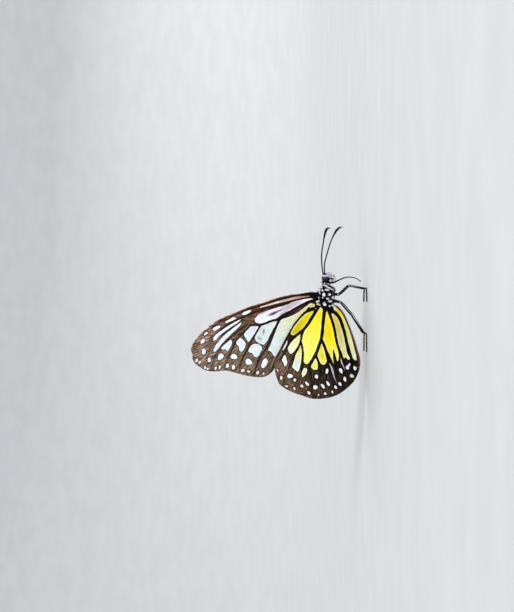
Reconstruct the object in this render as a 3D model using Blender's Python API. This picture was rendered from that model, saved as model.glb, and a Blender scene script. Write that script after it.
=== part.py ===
"""A yellow glassy tiger butterfly at life size, standing with its wings closed over its back.

+X points forward along the body, +Z up from the floor, and the butterfly's right side faces -Y.
Side-view places are readings (across, down) taken on the right side of the animal with its head
up and its back to the left. side_view turns them into millimetres forward and up.
"""

import math

import bmesh
import bpy
from mathutils import Matrix, Vector
from mathutils.geometry import delaunay_2d_cdt

MM = 0.001
GAP = 0.33
SHARP_ANGLE = math.radians(40)
FAR_OFF = 100.0
MERGE_WITHIN = 0.0001

# Driving sizes, in millimetres
FOREWING_LENGTH = 40.0
FOREWING_READING = 135.4
STEP = FOREWING_LENGTH / FOREWING_READING
FLOOR_ACROSS = 366.0
MIDDLE_DOWN = 312.65

# Wings: the sheet and its raised veins, how far they stand apart, and the size of their triangles
SHEET = 0.5
RIDGE_RISE = 0.2
RIDGE_HALF = 0.34
FOREWING_APART = 0.45
HINDWING_STEP = 1.0
HINGE = (318.0, 299.0)
HINGE_SPREAD = 0.9
HINGE_REACH = 5.0
CLASP_ROOM = 0.08
CLASP_REACH = 3.6
EDGE_SPACING = 1.1
VEIN_SPACING = 1.5
INNER_SPACING = 2.4
INNER_CLEAR = 0.45 * INNER_SPACING

# Head and shoulders: side-view readings, the place across the body, and radii in millimetres
HEAD_PLACE = (326.9, 277.8)
HEAD_RADII = (1.45, 1.2, 1.5)
FRONS_PLACE = (329.3, 275.3)
FRONS_RADII = (1.02, 0.82, 0.95)
EYE_PLACE = (325.0, 278.0, 1.02)
EYE_RADIUS = 1.05
TEGULA_PLACE = (319.8, 291.4, 1.45)
TEGULA_RADII = (0.85, 0.42, 0.5)
ANTENNA_RADIUS = 0.25
CLUB_RADIUS = 0.42
STALK_SPACING = 0.8
STALK_ROUNDING = 2
CLUB_FROM, CLUB_FULL = 0.72, 0.9
TIP_FROM, TIP_LOSS = 0.95, 0.45
PROBOSCIS_RADIUS = 0.25

# Legs: where a joint's rings stand along it, the thigh's swelling, and the foot
TUBE_SIDES = 8
SOLE_SHARE = 0.25
LEG_SHARES = (0.0, 0.12, 0.5, 0.88)
FOLDED_SHARES = (0.0, 0.5)
THIGH_SWELL = 1.12
ANKLE_LIFT = 0.25
TARSUS_RADIUS = 0.27
TARSUS_RINGS = ((0.12, 0.2), (0.82, TARSUS_RADIUS))
TARSUS_JOINTS = 5
CLAW_RADIUS = 0.1

# Places along the body: (across, down, half height, half width), the halves in millimetres
THORAX = (
    (326.3, 285.6, 1.25, 1.15),
    (326.3, 286.8, 1.8, 1.65),
    (326.3, 289.0, 2.3, 2.05),
    (326.1, 292.6, 2.55, 2.25),
    (326.2, 297.0, 2.62, 2.3),
    (327.2, 301.4, 2.5, 2.1),
    (328.3, 305.0, 2.1, 1.75),
    (329.2, 307.4, 1.5, 1.25),
)
COLLAR = (
    (326.6, 282.9, 0.85, 0.85),
    (326.4, 283.6, 1.3, 1.3),
    (326.4, 284.2, 1.2, 1.15),
)
ABDOMEN_START = (330.0, 308.8)
ABDOMEN_END = (347.5, 361.0)
ABDOMEN_RINGS = 9
ABDOMEN_RADII = (1.2, 1.42, 1.55, 1.62, 1.62, 1.55, 1.42, 1.22, 0.98, 0.62)
SEGMENT_STEP = 0.07
SEGMENT_SHIFT = 0.012
END_SHARE = 0.8

# Wing edges, from the root along the leading edge, round the outer margin and back
FOREWING_EDGE = (
    (324.0, 295.5), (315.6, 292.2), (300.3, 293.0), (288.0, 294.5), (277.3, 297.2),
    (262.0, 302.2), (249.0, 306.3), (233.7, 312.4), (219.7, 318.4), (205.9, 327.9),
    (196.7, 337.1), (191.9, 344.2), (190.4, 348.6), (191.2, 351.6), (192.4, 354.6),
    (192.2, 358.4), (194.0, 362.4), (199.4, 367.0), (205.9, 370.6), (215.1, 371.6),
    (226.2, 370.8), (232.2, 372.0), (238.6, 373.9), (249.0, 376.2), (257.5, 377.4),
    (264.3, 376.9), (271.2, 373.1), (275.5, 367.0), (280.5, 360.0), (287.0, 350.0),
    (294.5, 338.0), (302.0, 325.0), (309.0, 314.5), (314.5, 309.0), (323.0, 305.0),
)
HINDWING_EDGE = (
    (322.5, 303.6), (317.0, 306.0), (311.0, 307.0), (306.0, 309.5), (302.0, 313.0),
    (298.0, 317.5), (293.5, 323.5), (290.0, 329.0), (286.5, 335.0), (283.0, 341.5),
    (279.5, 348.5), (276.0, 355.0), (274.0, 361.0), (274.3, 367.0), (276.2, 376.8),
    (279.5, 384.4), (285.2, 388.6), (292.9, 392.5), (301.7, 395.5), (312.0, 398.6),
    (323.3, 398.6), (335.9, 395.5), (345.5, 389.4), (354.3, 380.6), (358.6, 372.0),
    (360.1, 364.5), (359.7, 357.6), (357.7, 350.5), (355.8, 344.0), (352.0, 332.5),
    (347.0, 319.9), (342.4, 311.1), (338.0, 306.6), (331.5, 303.6),
)

# Veins, from the root side to the margin
FOREWING_VEINS = (
    ((309.0, 294.9), (292.0, 296.8), (276.0, 300.4), (258.0, 306.4), (240.0, 312.7),
     (224.0, 319.6), (209.0, 329.6)),
    ((313.0, 296.5), (296.0, 299.5), (277.0, 305.5), (262.0, 309.5), (250.0, 314.0),
     (243.0, 317.0), (232.0, 322.4), (212.0, 336.5), (197.0, 351.0)),
    ((313.5, 300.5), (300.0, 306.0), (289.0, 312.5), (281.0, 318.0), (270.0, 321.5),
     (262.0, 324.5), (250.0, 325.0)),
    ((280.0, 319.5), (275.3, 328.3), (270.8, 338.0), (266.5, 348.0), (260.0, 357.5),
     (254.5, 372.5)),
    ((260.5, 325.5), (253.8, 337.0), (247.0, 349.5), (242.4, 359.0), (239.2, 370.5)),
    ((249.0, 327.0), (241.0, 335.5), (235.5, 342.0), (228.0, 357.0), (225.0, 367.5)),
    ((247.5, 324.5), (238.0, 331.0), (225.0, 342.4), (215.6, 355.0), (211.3, 367.5)),
    ((243.0, 320.0), (231.9, 327.7), (218.5, 339.0), (208.6, 353.0), (203.4, 364.0)),
    ((309.0, 308.0), (296.0, 326.0), (282.0, 349.0), (271.0, 370.0)),
)
HINDWING_VEINS = (
    ((314.5, 309.0), (303.0, 313.8), (295.0, 322.0), (286.5, 337.0), (279.5, 350.0),
     (277.0, 358.5)),
    ((315.5, 311.0), (308.0, 324.0), (303.5, 329.5), (296.0, 335.5), (289.0, 343.0),
     (281.0, 358.5), (277.2, 365.5)),
    ((302.0, 332.0), (300.4, 342.0), (296.0, 352.0), (291.0, 361.0), (287.0, 371.0),
     (283.6, 383.0)),
    ((301.8, 344.0), (302.7, 359.0), (301.4, 369.0), (298.8, 380.0), (298.2, 391.5)),
    ((324.5, 310.0), (323.2, 320.0), (321.2, 338.0), (316.4, 353.0), (309.5, 365.4),
     (310.4, 376.0), (312.4, 395.0)),
    ((315.4, 358.0), (319.2, 366.0), (320.0, 374.0), (319.6, 384.0), (321.4, 395.5)),
    ((321.6, 342.0), (325.4, 349.5), (329.2, 358.6), (331.4, 370.0), (331.2, 384.0),
     (329.4, 394.0)),
    ((328.8, 311.5), (333.6, 327.0), (337.3, 345.0), (344.0, 365.5), (342.0, 381.0),
     (343.2, 387.5)),
    ((333.2, 311.5), (338.4, 316.6), (342.6, 327.0), (346.6, 343.0), (351.8, 365.0),
     (348.2, 376.0), (348.4, 383.5)),
)

# Feelers and mouth: side-view readings with the place across the body in millimetres
NEAR_ANTENNA = (
    (323.6, 275.5, 0.5), (322.9, 272.7, 0.6), (321.5, 262.0, 1.9), (321.3, 254.0, 3.3),
    (322.3, 246.0, 4.7), (323.5, 238.0, 6.2), (324.5, 233.3, 7.0), (326.0, 230.0, 7.6),
    (328.0, 229.0, 8.0), (329.4, 229.9, 8.2),
)
FAR_ANTENNA = (
    (324.6, 275.0, 0.5), (324.6, 272.0, 0.6), (324.7, 264.0, 1.3), (326.5, 256.5, 2.2),
    (329.0, 248.0, 3.1), (332.0, 239.5, 4.1), (335.3, 232.8, 4.9), (338.5, 228.3, 5.4),
    (341.0, 226.7, 5.6), (344.0, 226.3, 5.7),
)
PROBOSCIS = (
    (330.8, 283.2, 0.0), (333.2, 282.7, 0.0), (338.4, 280.3, 0.0), (346.0, 277.4, 0.0),
    (354.0, 277.6, 0.0), (361.0, 281.4, 0.0),
)
PALP = ((332.8, 282.0, 0.55), (334.5, 280.2, 0.6), (334.6, 277.8, 0.62), (333.7, 275.6, 0.62))
PALP_RADII = (0.3, 0.42, 0.36, 0.14)

# Legs: hip, trochanter, knee, ankle, then the foot along the floor
FORELEG = ((327.6, 286.2, 0.7), (330.2, 286.0, 1.75), (334.3, 288.4, 1.85), (334.7, 291.0, 2.0),
           (333.9, 292.6, 2.2))
FORELEG_RADII = (0.34, 0.3, 0.27, 0.2, 0.13)
MIDLEG = ((331.0, 294.0, 0.8), (339.0, 294.5, 1.5), (348.8, 285.4, 4.3), (363.4, 288.4, 6.2))
MIDLEG_FOOT = ((293.0, 7.2), (302.5, 8.7))
HINDLEG = ((333.0, 300.6, 0.8), (341.0, 302.3, 1.5), (352.0, 315.0, 4.3), (363.4, 333.0, 6.3))
HINDLEG_FOOT = ((339.5, 6.9), (352.5, 7.8))
LEG_RADII = (0.62, 0.5, 0.4, 0.31)

# Finishes: name, colour, roughness
BODY_FINISH = ("dark_body", (0.012, 0.010, 0.010), 0.6)
EYE_FINISH = ("eye", (0.02, 0.012, 0.03), 0.15)
FOREWING_FINISH = ("forewing", (0.62, 0.68, 0.66), 0.45)
HINDWING_FINISH = ("hindwing", (0.85, 0.72, 0.08), 0.45)


def clear_scene():
    for obj in list(bpy.data.objects):
        bpy.data.objects.remove(obj, do_unlink=True)


def side_view(across, down):
    """Millimetres forward and up for one side-view reading."""
    return (MIDDLE_DOWN - down) * STEP, (FLOOR_ACROSS - across) * STEP


def place(across, down, apart=0.0):
    x, z = side_view(across, down)
    return Vector((x, apart, z))


def smooth_step(low, high, value):
    t = min(max((value - low) / (high - low), 0.0), 1.0)
    return t * t * (3.0 - 2.0 * t)


def smooth_greater(a, b, soft=0.25):
    return 0.5 * (a + b + math.sqrt((a - b) ** 2 + soft * soft))


def through(points, spacing, closed=False):
    """Points about `spacing` apart along a smooth curve through the given ones."""
    points = [Vector(p) for p in points]
    count = len(points)
    spans = count if closed else count - 1
    out = []
    for i in range(spans):
        if closed:
            a, b, c, d = (points[(i + k) % count] for k in (-1, 0, 1, 2))
        else:
            b, c = points[i], points[i + 1]
            a = points[i - 1] if i else b * 2 - c
            d = points[i + 2] if i + 2 < count else c * 2 - b
        steps = max(1, round((c - b).length / spacing))
        for k in range(steps):
            t = k / steps
            out.append(
                0.5 * (2 * b + (c - a) * t + (2 * a - 5 * b + 4 * c - d) * t * t
                       + (3 * b - a - 3 * c + d) * t ** 3)
            )
    if not closed:
        out.append(points[-1])
    return out


def material(name, colour, roughness):
    made = bpy.data.materials.new(name)
    made.use_nodes = True
    shader = made.node_tree.nodes["Principled BSDF"]
    shader.inputs["Base Color"].default_value = (*colour, 1.0)
    shader.inputs["Roughness"].default_value = roughness
    return made


def object_from(name, mesh, finish):
    """A named object whose mesh is given in millimetres."""
    mesh.transform(Matrix.Scale(MM, 4))
    data = bpy.data.meshes.new(name)
    mesh.to_mesh(data)
    mesh.free()
    data.materials.append(finish)
    data.shade_smooth()
    data.set_sharp_from_angle(angle=SHARP_ANGLE)
    obj = bpy.data.objects.new(name, data)
    bpy.context.scene.collection.objects.link(obj)
    return obj


def ball(name, centre, radii, finish, segments=20, rings=12):
    mesh = bmesh.new()
    at = Matrix.Translation(centre) @ Matrix.Diagonal((*radii, 1.0))
    bmesh.ops.create_uvsphere(mesh, u_segments=segments, v_segments=rings, radius=1.0, matrix=at)
    return object_from(name, mesh, finish)


def skin_over(name, loops, finish):
    """One closed body over rings of points, with a fan at each end."""
    mesh = bmesh.new()
    rings = [[mesh.verts.new(p) for p in loop] for loop in loops]
    count = len(rings[0])
    for here, there in zip(rings, rings[1:]):
        for i in range(count):
            j = (i + 1) % count
            mesh.faces.new((here[i], here[j], there[j], there[i]))
    for ring in (rings[0], rings[-1]):
        middle = mesh.verts.new(sum((v.co for v in ring), Vector()) / count)
        for i in range(count):
            mesh.faces.new((ring[i], ring[(i + 1) % count], middle))
    bmesh.ops.recalc_face_normals(mesh, faces=mesh.faces)
    bmesh.ops.triangulate(mesh, faces=mesh.faces)
    return object_from(name, mesh, finish)


def oval(centre, along, half_height, half_width, sides):
    """A ring round the body's axis, tilted to stand square to `along` in the side view."""
    up = Vector((-along.z, 0.0, along.x)).normalized()
    ring = []
    for i in range(sides):
        turn = 2 * math.pi * i / sides
        ring.append(centre + up * half_height * math.sin(turn)
                    + Vector((0, half_width * math.cos(turn), 0)))
    return ring


def body_from(name, stations, finish, sides=24):
    centres = [place(s[0], s[1]) for s in stations]
    loops = []
    for i, (_, _, high, wide) in enumerate(stations):
        along = (centres[max(i - 1, 0)] - centres[min(i + 1, len(centres) - 1)]).normalized()
        loops.append(oval(centres[i], along, high, wide, sides))
    return skin_over(name, loops, finish)


def abdomen_stations():
    """Two rings for each segment, so that every segment steps a little over the next."""
    stations = []
    for i in range(ABDOMEN_RINGS + 1):
        share = i / ABDOMEN_RINGS
        radius = ABDOMEN_RADII[i]
        for shift, step in ((-SEGMENT_SHIFT, SEGMENT_STEP), (SEGMENT_SHIFT, 0.0)):
            t = min(max(share + shift, 0.0), 1.0)
            across = ABDOMEN_START[0] + t * (ABDOMEN_END[0] - ABDOMEN_START[0])
            down = ABDOMEN_START[1] + t * (ABDOMEN_END[1] - ABDOMEN_START[1])
            if 0.0 < t < 1.0:
                stations.append((across, down, radius + step, radius + step))
            elif (i == 0) == (shift < 0):
                stations.append((across, down, radius * END_SHARE, radius * END_SHARE))
    return stations


def body_half_width(across, down, stations):
    """(half width, half height, distance from the axis) of the body at a side-view reading."""
    for first, last in zip(stations, stations[1:]):
        if first[1] <= down <= last[1]:
            t = (down - first[1]) / (last[1] - first[1])
            mixed = [a + (b - a) * t for a, b in zip(first, last)]
            return mixed[3], mixed[2], abs(across - mixed[0]) * STEP
    return 0.0, 0.0, FAR_OFF


def tube(name, points, radii, finish, flat_from=None):
    """A tapering limb. From ring `flat_from` on, the ring's lowest side lies level on the floor."""
    points = [Vector(p) for p in points]
    last = len(points) - 1
    ways = []
    for i in range(last + 1):
        ways.append((points[min(i + 1, last)] - points[max(i - 1, 0)]).normalized())
    up = Vector((0, 0, 1)) - ways[last] * ways[last].z
    if up.length < 0.1:
        up = Vector((1, 0, 0)) - ways[last] * ways[last].x
    up.normalize()
    frames = [None] * (last + 1)
    for i in range(last, -1, -1):
        up = (up - ways[i] * up.dot(ways[i])).normalized()
        frames[i] = (up, ways[i].cross(up))
    loops = []
    for i, (point, radius) in enumerate(zip(points, radii)):
        lift, across = frames[i]
        ring = []
        for k in range(TUBE_SIDES):
            turn = 2 * math.pi * (k + 0.5) / TUBE_SIDES
            ring.append(point + lift * radius * math.sin(turn) + across * radius * math.cos(turn))
        if flat_from is not None and i >= flat_from:
            low = min(p.z for p in ring)
            for p in ring:
                if p.z < low + SOLE_SHARE * radius:
                    p.z = 0.0
        loops.append(ring)
    return skin_over(name, loops, finish)


def swollen(obj):
    """A helper copy of a node, grown by the gap that touching nodes keep."""
    copy = obj.copy()
    copy.data = obj.data.copy()
    copy.name = "grown_" + obj.name
    normals = [v.normal.copy() for v in copy.data.vertices]
    for vertex, normal in zip(copy.data.vertices, normals):
        vertex.co += normal * GAP * MM
    bpy.context.scene.collection.objects.link(copy)
    return copy


def keep_largest(obj):
    mesh = bmesh.new()
    mesh.from_mesh(obj.data)
    left = set(mesh.verts)
    shells = []
    while left:
        stack = [left.pop()]
        shell = set(stack)
        while stack:
            for edge in stack.pop().link_edges:
                for vertex in edge.verts:
                    if vertex in left:
                        left.discard(vertex)
                        shell.add(vertex)
                        stack.append(vertex)
        shells.append(shell)
    shells.sort(key=len, reverse=True)
    loose = [v for shell in shells[1:] for v in shell]
    bmesh.ops.delete(mesh, geom=loose, context="VERTS")
    mesh.to_mesh(obj.data)
    mesh.free()


def combine(obj, operation, pieces):
    """Cuts or joins a node with closed pieces, which are then removed, and keeps one closed body."""
    group = bpy.data.collections.new("pieces_for_" + obj.name)
    bpy.context.scene.collection.children.link(group)
    for piece in pieces:
        group.objects.link(piece)
    step = obj.modifiers.new("combine", "BOOLEAN")
    step.operation = operation
    step.operand_type = "COLLECTION"
    step.collection = group
    bpy.context.view_layer.update()
    graph = bpy.context.evaluated_depsgraph_get()
    result = bpy.data.meshes.new_from_object(obj.evaluated_get(graph))
    obj.modifiers.clear()
    obj.data = result
    for piece in pieces:
        bpy.data.objects.remove(piece, do_unlink=True)
    bpy.data.collections.remove(group)
    keep_largest(obj)


def cut_clear(obj, *neighbours):
    """Takes from a node what lies within the gap of its neighbours."""
    combine(obj, "DIFFERENCE", [swollen(neighbour) for neighbour in neighbours])


def fuse(obj, *others):
    """Joins closed pieces to a node."""
    combine(obj, "UNION", others)


def forewing_apart(across, down):
    """How far the forewing's middle surface stands from the body's mid-plane."""
    away = math.dist((across, down), HINGE) * STEP
    return FOREWING_APART + HINGE_SPREAD * math.exp(-((away / HINGE_REACH) ** 2))


def hindwing_apart(across, down, body):
    """The hindwing lies outside the forewing and bulges round the body that it clasps."""
    wide, high, away = body_half_width(across, down, body)
    clear = wide + GAP + 0.5 * SHEET + CLASP_ROOM
    over = clear * (1.0 - smooth_step(0.5 * high, high + CLASP_REACH, away))
    return smooth_greater(forewing_apart(across, down) + HINDWING_STEP, over)


def vein_distance(point, veins):
    nearest = FAR_OFF
    for vein in veins:
        for a, b in zip(vein, vein[1:]):
            span = b - a
            t = min(max((point - a).dot(span) / span.length_squared, 0.0), 1.0)
            nearest = min(nearest, (point - a - span * t).length)
    return nearest


def wing(name, hand, edge, veins, apart, finish):
    """A sheet between two like faces, with its veins raised in the outer face.

    hand is -1 on the right and 1 on the left. Flat points are in millimetres, forward and up.
    """
    outline = [Vector(side_view(*p)) for p in through(edge, EDGE_SPACING / STEP, closed=True)]
    ribs = [[Vector(side_view(*p)) for p in through(v, VEIN_SPACING / STEP)] for v in veins]
    points = list(outline)
    edges = [(i, (i + 1) % len(outline)) for i in range(len(outline))]
    for rib in ribs:
        for offset in (-RIDGE_HALF, 0.0, RIDGE_HALF):
            start = len(points)
            for i, p in enumerate(rib):
                way = (rib[min(i + 1, len(rib) - 1)] - rib[max(i - 1, 0)]).normalized()
                points.append(p + Vector((-way.y, way.x)) * offset)
            edges += [(i, i + 1) for i in range(start, len(points) - 1)]
    low = Vector((min(p.x for p in outline), min(p.y for p in outline)))
    high = Vector((max(p.x for p in outline), max(p.y for p in outline)))
    rows = int((high.y - low.y) / INNER_SPACING)
    columns = int((high.x - low.x) / INNER_SPACING)
    rim = [outline + [outline[0]]]
    for row in range(1, rows + 1):
        for column in range(1, columns + 1):
            p = low + Vector((column + 0.5 * (row % 2), row)) * INNER_SPACING
            if min(vein_distance(p, ribs), vein_distance(p, rim)) > INNER_CLEAR:
                points.append(p)
    face = [list(range(len(outline)))]
    flat, _, faces, *_ = delaunay_2d_cdt(points, edges, face, 1, MERGE_WITHIN)
    mesh = bmesh.new()
    outer, inner = [], []
    for p in flat:
        rise = RIDGE_RISE * max(0.0, 1.0 - vein_distance(p, ribs) / RIDGE_HALF)
        middle = apart(FLOOR_ACROSS - p.y / STEP, MIDDLE_DOWN - p.x / STEP)
        outer.append(mesh.verts.new((p.x, hand * (middle + 0.5 * SHEET + rise), p.y)))
        inner.append(mesh.verts.new((p.x, hand * (middle - 0.5 * SHEET), p.y)))
    used = {}
    for a, b, c in faces:
        mesh.faces.new((outer[a], outer[b], outer[c]))
        mesh.faces.new((inner[c], inner[b], inner[a]))
        for pair in ((a, b), (b, c), (c, a)):
            used[pair] = used.get(pair, 0) + 1
    for a, b in used:
        if (b, a) not in used:
            mesh.faces.new((outer[b], outer[a], inner[a]))
            mesh.faces.new((outer[b], inner[a], inner[b]))
    loose = [v for v in mesh.verts if not v.link_faces]
    bmesh.ops.delete(mesh, geom=loose, context="VERTS")
    bmesh.ops.recalc_face_normals(mesh, faces=mesh.faces)
    return object_from(name, mesh, finish)


def stalk(name, hand, readings, radius, tip_radius, finish):
    """A feeler or tongue: a bevelled curve, thicker towards its tip when it has a club."""
    points = through([place(a, d, hand * y) for a, d, y in readings], STALK_SPACING)
    curve = bpy.data.curves.new(name, "CURVE")
    curve.dimensions = "3D"
    curve.bevel_depth = radius * MM
    curve.bevel_resolution = STALK_ROUNDING
    curve.use_fill_caps = True
    spline = curve.splines.new("POLY")
    spline.points.add(len(points) - 1)
    for i, p in enumerate(points):
        share = i / (len(points) - 1)
        swell = 1.0 + (tip_radius / radius - 1.0) * smooth_step(CLUB_FROM, CLUB_FULL, share)
        swell *= 1.0 - TIP_LOSS * smooth_step(TIP_FROM, 1.0, share)
        spline.points[i].co = (*(p * MM), 1.0)
        spline.points[i].radius = swell
    guide = bpy.data.objects.new(name + "_guide", curve)
    bpy.context.scene.collection.objects.link(guide)
    bpy.context.view_layer.update()
    graph = bpy.context.evaluated_depsgraph_get()
    data = bpy.data.meshes.new_from_object(guide.evaluated_get(graph))
    bpy.data.objects.remove(guide, do_unlink=True)
    mesh = bmesh.new()
    mesh.from_mesh(data)
    bmesh.ops.remove_doubles(mesh, verts=mesh.verts, dist=MERGE_WITHIN * MM)
    bmesh.ops.triangulate(mesh, faces=mesh.faces)
    bmesh.ops.recalc_face_normals(mesh, faces=mesh.faces)
    mesh.transform(Matrix.Scale(1 / MM, 4))
    return object_from(name, mesh, finish)


def leg(name, hand, joints, radii, finish, foot=()):
    """Hip to ankle, and a foot that lies on the floor."""
    points = [place(a, d, hand * y) for a, d, y in joints]
    path, widths = [], []
    for i, (a, b) in enumerate(zip(points, points[1:])):
        swell = THIGH_SWELL if i == 1 else 1.0
        for share in LEG_SHARES if foot else FOLDED_SHARES:
            if i == 0 and share == LEG_SHARES[1]:
                continue
            path.append(a.lerp(b, share))
            size = radii[i] + (radii[i + 1] - radii[i]) * share
            widths.append(size * (swell if share == 0.5 else 1.0))
    path.append(points[-1])
    widths.append(radii[-1])
    flat_from = None
    if foot:
        rest = TARSUS_RADIUS * math.cos(math.pi / TUBE_SIDES)
        path[-1].z = rest + ANKLE_LIFT
        flat_from = len(path)
        start = points[-1]
        ends = [Vector((start.x, start.y, rest))]
        ends += [Vector((side_view(0.0, d)[0], hand * y, rest)) for d, y in foot]
        ways = through(ends, TARSUS_RADIUS)
        for joint in range(TARSUS_JOINTS):
            for share, width in TARSUS_RINGS:
                reach = (joint + share) / TARSUS_JOINTS * (len(ways) - 1)
                low = int(reach)
                path.append(ways[low].lerp(ways[min(low + 1, len(ways) - 1)], reach - low))
                widths.append(width)
        path.append(ways[-1])
        widths.append(CLAW_RADIUS)
    return tube(name, path, widths, finish, flat_from=flat_from)


def build():
    clear_scene()
    dark = material(*BODY_FINISH)
    eye = material(*EYE_FINISH)
    pale = material(*FOREWING_FINISH)
    yellow = material(*HINDWING_FINISH)

    abdomen_rings = abdomen_stations()
    body = list(THORAX) + abdomen_rings
    thorax = body_from("thorax", THORAX, dark)
    body_from("abdomen", abdomen_rings, dark, sides=16)
    collar = body_from("collar", COLLAR, dark, sides=16)
    cut_clear(collar, thorax)
    head = ball("head", place(*HEAD_PLACE), HEAD_RADII, dark, 24, 14)
    frons = ball("frons", place(*FRONS_PLACE), FRONS_RADII, dark)
    tongue = stalk("proboscis", 1, PROBOSCIS, PROBOSCIS_RADIUS, PROBOSCIS_RADIUS, dark)
    cut_clear(tongue, head, frons, collar)

    globes, shoulders = [], []
    for hand, side_name in ((-1, "right"), (1, "left")):
        across, down, apart = EYE_PLACE
        globe = ball("eye_" + side_name, place(across, down, hand * apart), (EYE_RADIUS,) * 3, eye, 16, 10)
        globes.append(globe)
        palp_path = [place(a, d, hand * y) for a, d, y in PALP]
        palp = tube("palp_" + side_name, palp_path, PALP_RADII, dark)
        cut_clear(palp, head, frons, globe)
        route = NEAR_ANTENNA if hand < 0 else FAR_ANTENNA
        feeler = stalk("antenna_" + side_name, hand, route, ANTENNA_RADIUS, CLUB_RADIUS, dark)
        cut_clear(feeler, head, frons, globe)

        front = leg("foreleg_" + side_name, hand, FORELEG, FORELEG_RADII, dark)
        middle = leg("midleg_" + side_name, hand, MIDLEG, LEG_RADII, dark, MIDLEG_FOOT)
        rear = leg("hindleg_" + side_name, hand, HINDLEG, LEG_RADII, dark, HINDLEG_FOOT)
        for limb in (front, middle, rear):
            cut_clear(limb, thorax)
        across, down, apart = TEGULA_PLACE
        shoulder = ball("tegula_" + side_name, place(across, down, hand * apart), TEGULA_RADII, dark, 12, 8)
        shoulders.append(shoulder)
        upper = wing("forewing_" + side_name, hand, FOREWING_EDGE, FOREWING_VEINS,
                     forewing_apart, pale)
        cut_clear(upper, thorax, shoulder)
        wing("hindwing_" + side_name, hand, HINDWING_EDGE, HINDWING_VEINS,
             lambda a, d: hindwing_apart(a, d, body), yellow)
    fuse(thorax, *shoulders)
    fuse(head, frons)
    cut_clear(head, collar, *globes)


build()
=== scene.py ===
import math

import bpy
import numpy as np
from mathutils import Matrix, Vector
from mathutils.geometry import delaunay_2d_cdt
from mathutils.kdtree import KDTree


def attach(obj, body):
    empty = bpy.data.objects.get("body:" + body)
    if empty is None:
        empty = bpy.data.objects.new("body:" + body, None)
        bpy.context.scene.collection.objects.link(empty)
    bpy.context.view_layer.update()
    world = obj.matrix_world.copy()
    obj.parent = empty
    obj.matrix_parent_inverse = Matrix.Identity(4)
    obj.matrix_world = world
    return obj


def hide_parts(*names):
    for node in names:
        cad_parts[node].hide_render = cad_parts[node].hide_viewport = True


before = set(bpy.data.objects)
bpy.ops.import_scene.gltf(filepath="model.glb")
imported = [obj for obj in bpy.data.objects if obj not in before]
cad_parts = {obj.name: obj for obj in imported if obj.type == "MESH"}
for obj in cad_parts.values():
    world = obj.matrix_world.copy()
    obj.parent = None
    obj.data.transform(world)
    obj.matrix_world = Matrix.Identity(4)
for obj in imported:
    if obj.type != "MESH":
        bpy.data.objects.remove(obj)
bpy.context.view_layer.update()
bpy.ops.object.select_all(action="DESELECT")

# Sizes shared with the solids, in millimetres; side-view places are readings (across, down)
MM = 0.001
FOREWING_LENGTH = 40.0
FOREWING_READING = 135.4
STEP = FOREWING_LENGTH / FOREWING_READING
FLOOR_ACROSS = 366.0
MIDDLE_DOWN = 312.65
SIDES = ((-1, "right"), (1, "left"))
FOREWING_APART = 0.45
HINDWING_STEP = 1.0
BODY_CLEARANCE = 0.66
HINGE = (318.0, 299.0)
EYE_RADIUS = 1.05
EYE_PLACE = (325.0, 278.0, 1.02)
ANKLE_UP = 0.48
FOOT_UP = 0.21

# The picture's size in readings, and settings of the fine shapes, in millimetres
PICTURE = (514.0, 612.0)
SKIN_DEPTH = 0.14
DOME_SHARE = 0.99
HAIR_REACH = 3.0
WHITEST = (0.91, 0.93, 1.0)
DOT_GAIN = 1.35
SPOT_SEED = 11
WELD = 0.001
CREASE = math.radians(50)

# Body stations: across, down, half height, half width
THORAX = (
    (326.3, 285.6, 1.25, 1.15), (326.3, 286.8, 1.8, 1.65), (326.3, 289, 2.3, 2.05),
    (326.1, 292.6, 2.55, 2.25), (326.2, 297, 2.62, 2.3), (327.2, 301.4, 2.5, 2.1),
    (328.3, 305, 2.1, 1.75), (329.2, 307.4, 1.5, 1.25),
)
ABDOMEN_START = (330.0, 308.8)
ABDOMEN_END = (347.5, 361.0)
ABDOMEN_RADII = (1.2, 1.42, 1.55, 1.62, 1.62, 1.55, 1.42, 1.22, 0.98, 0.62)

# Wing edges, from the root along the leading edge, round the outer margin and back
FOREWING_EDGE = (
    (324, 295.5), (315.6, 292.2), (300.3, 293), (288, 294.5), (277.3, 297.2), (262, 302.2), (249, 306.3),
    (233.7, 312.4), (219.7, 318.4), (205.9, 327.9), (196.7, 337.1), (191.9, 344.2), (190.4, 348.6),
    (191.2, 351.6), (192.4, 354.6), (192.2, 358.4), (194, 362.4), (199.4, 367), (205.9, 370.6),
    (215.1, 371.6), (226.2, 370.8), (232.2, 372), (238.6, 373.9), (249, 376.2), (257.5, 377.4),
    (264.3, 376.9), (271.2, 373.1), (275.5, 367), (280.5, 360), (287, 350), (294.5, 338), (302, 325),
    (309, 314.5), (314.5, 309), (323, 305),
)
HINDWING_EDGE = (
    (322.5, 303.6), (317, 306), (311, 307), (306, 309.5), (302, 313), (298, 317.5), (293.5, 323.5),
    (290, 329), (286.5, 335), (283, 341.5), (279.5, 348.5), (276, 355), (274, 361), (274.3, 367),
    (276.2, 376.8), (279.5, 384.4), (285.2, 388.6), (292.9, 392.5), (301.7, 395.5), (312, 398.6),
    (323.3, 398.6), (335.9, 395.5), (345.5, 389.4), (354.3, 380.6), (358.6, 372), (360.1, 364.5),
    (359.7, 357.6), (357.7, 350.5), (355.8, 344), (352, 332.5), (347, 319.9), (342.4, 311.1),
    (338, 306.6), (331.5, 303.6),
)

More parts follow.
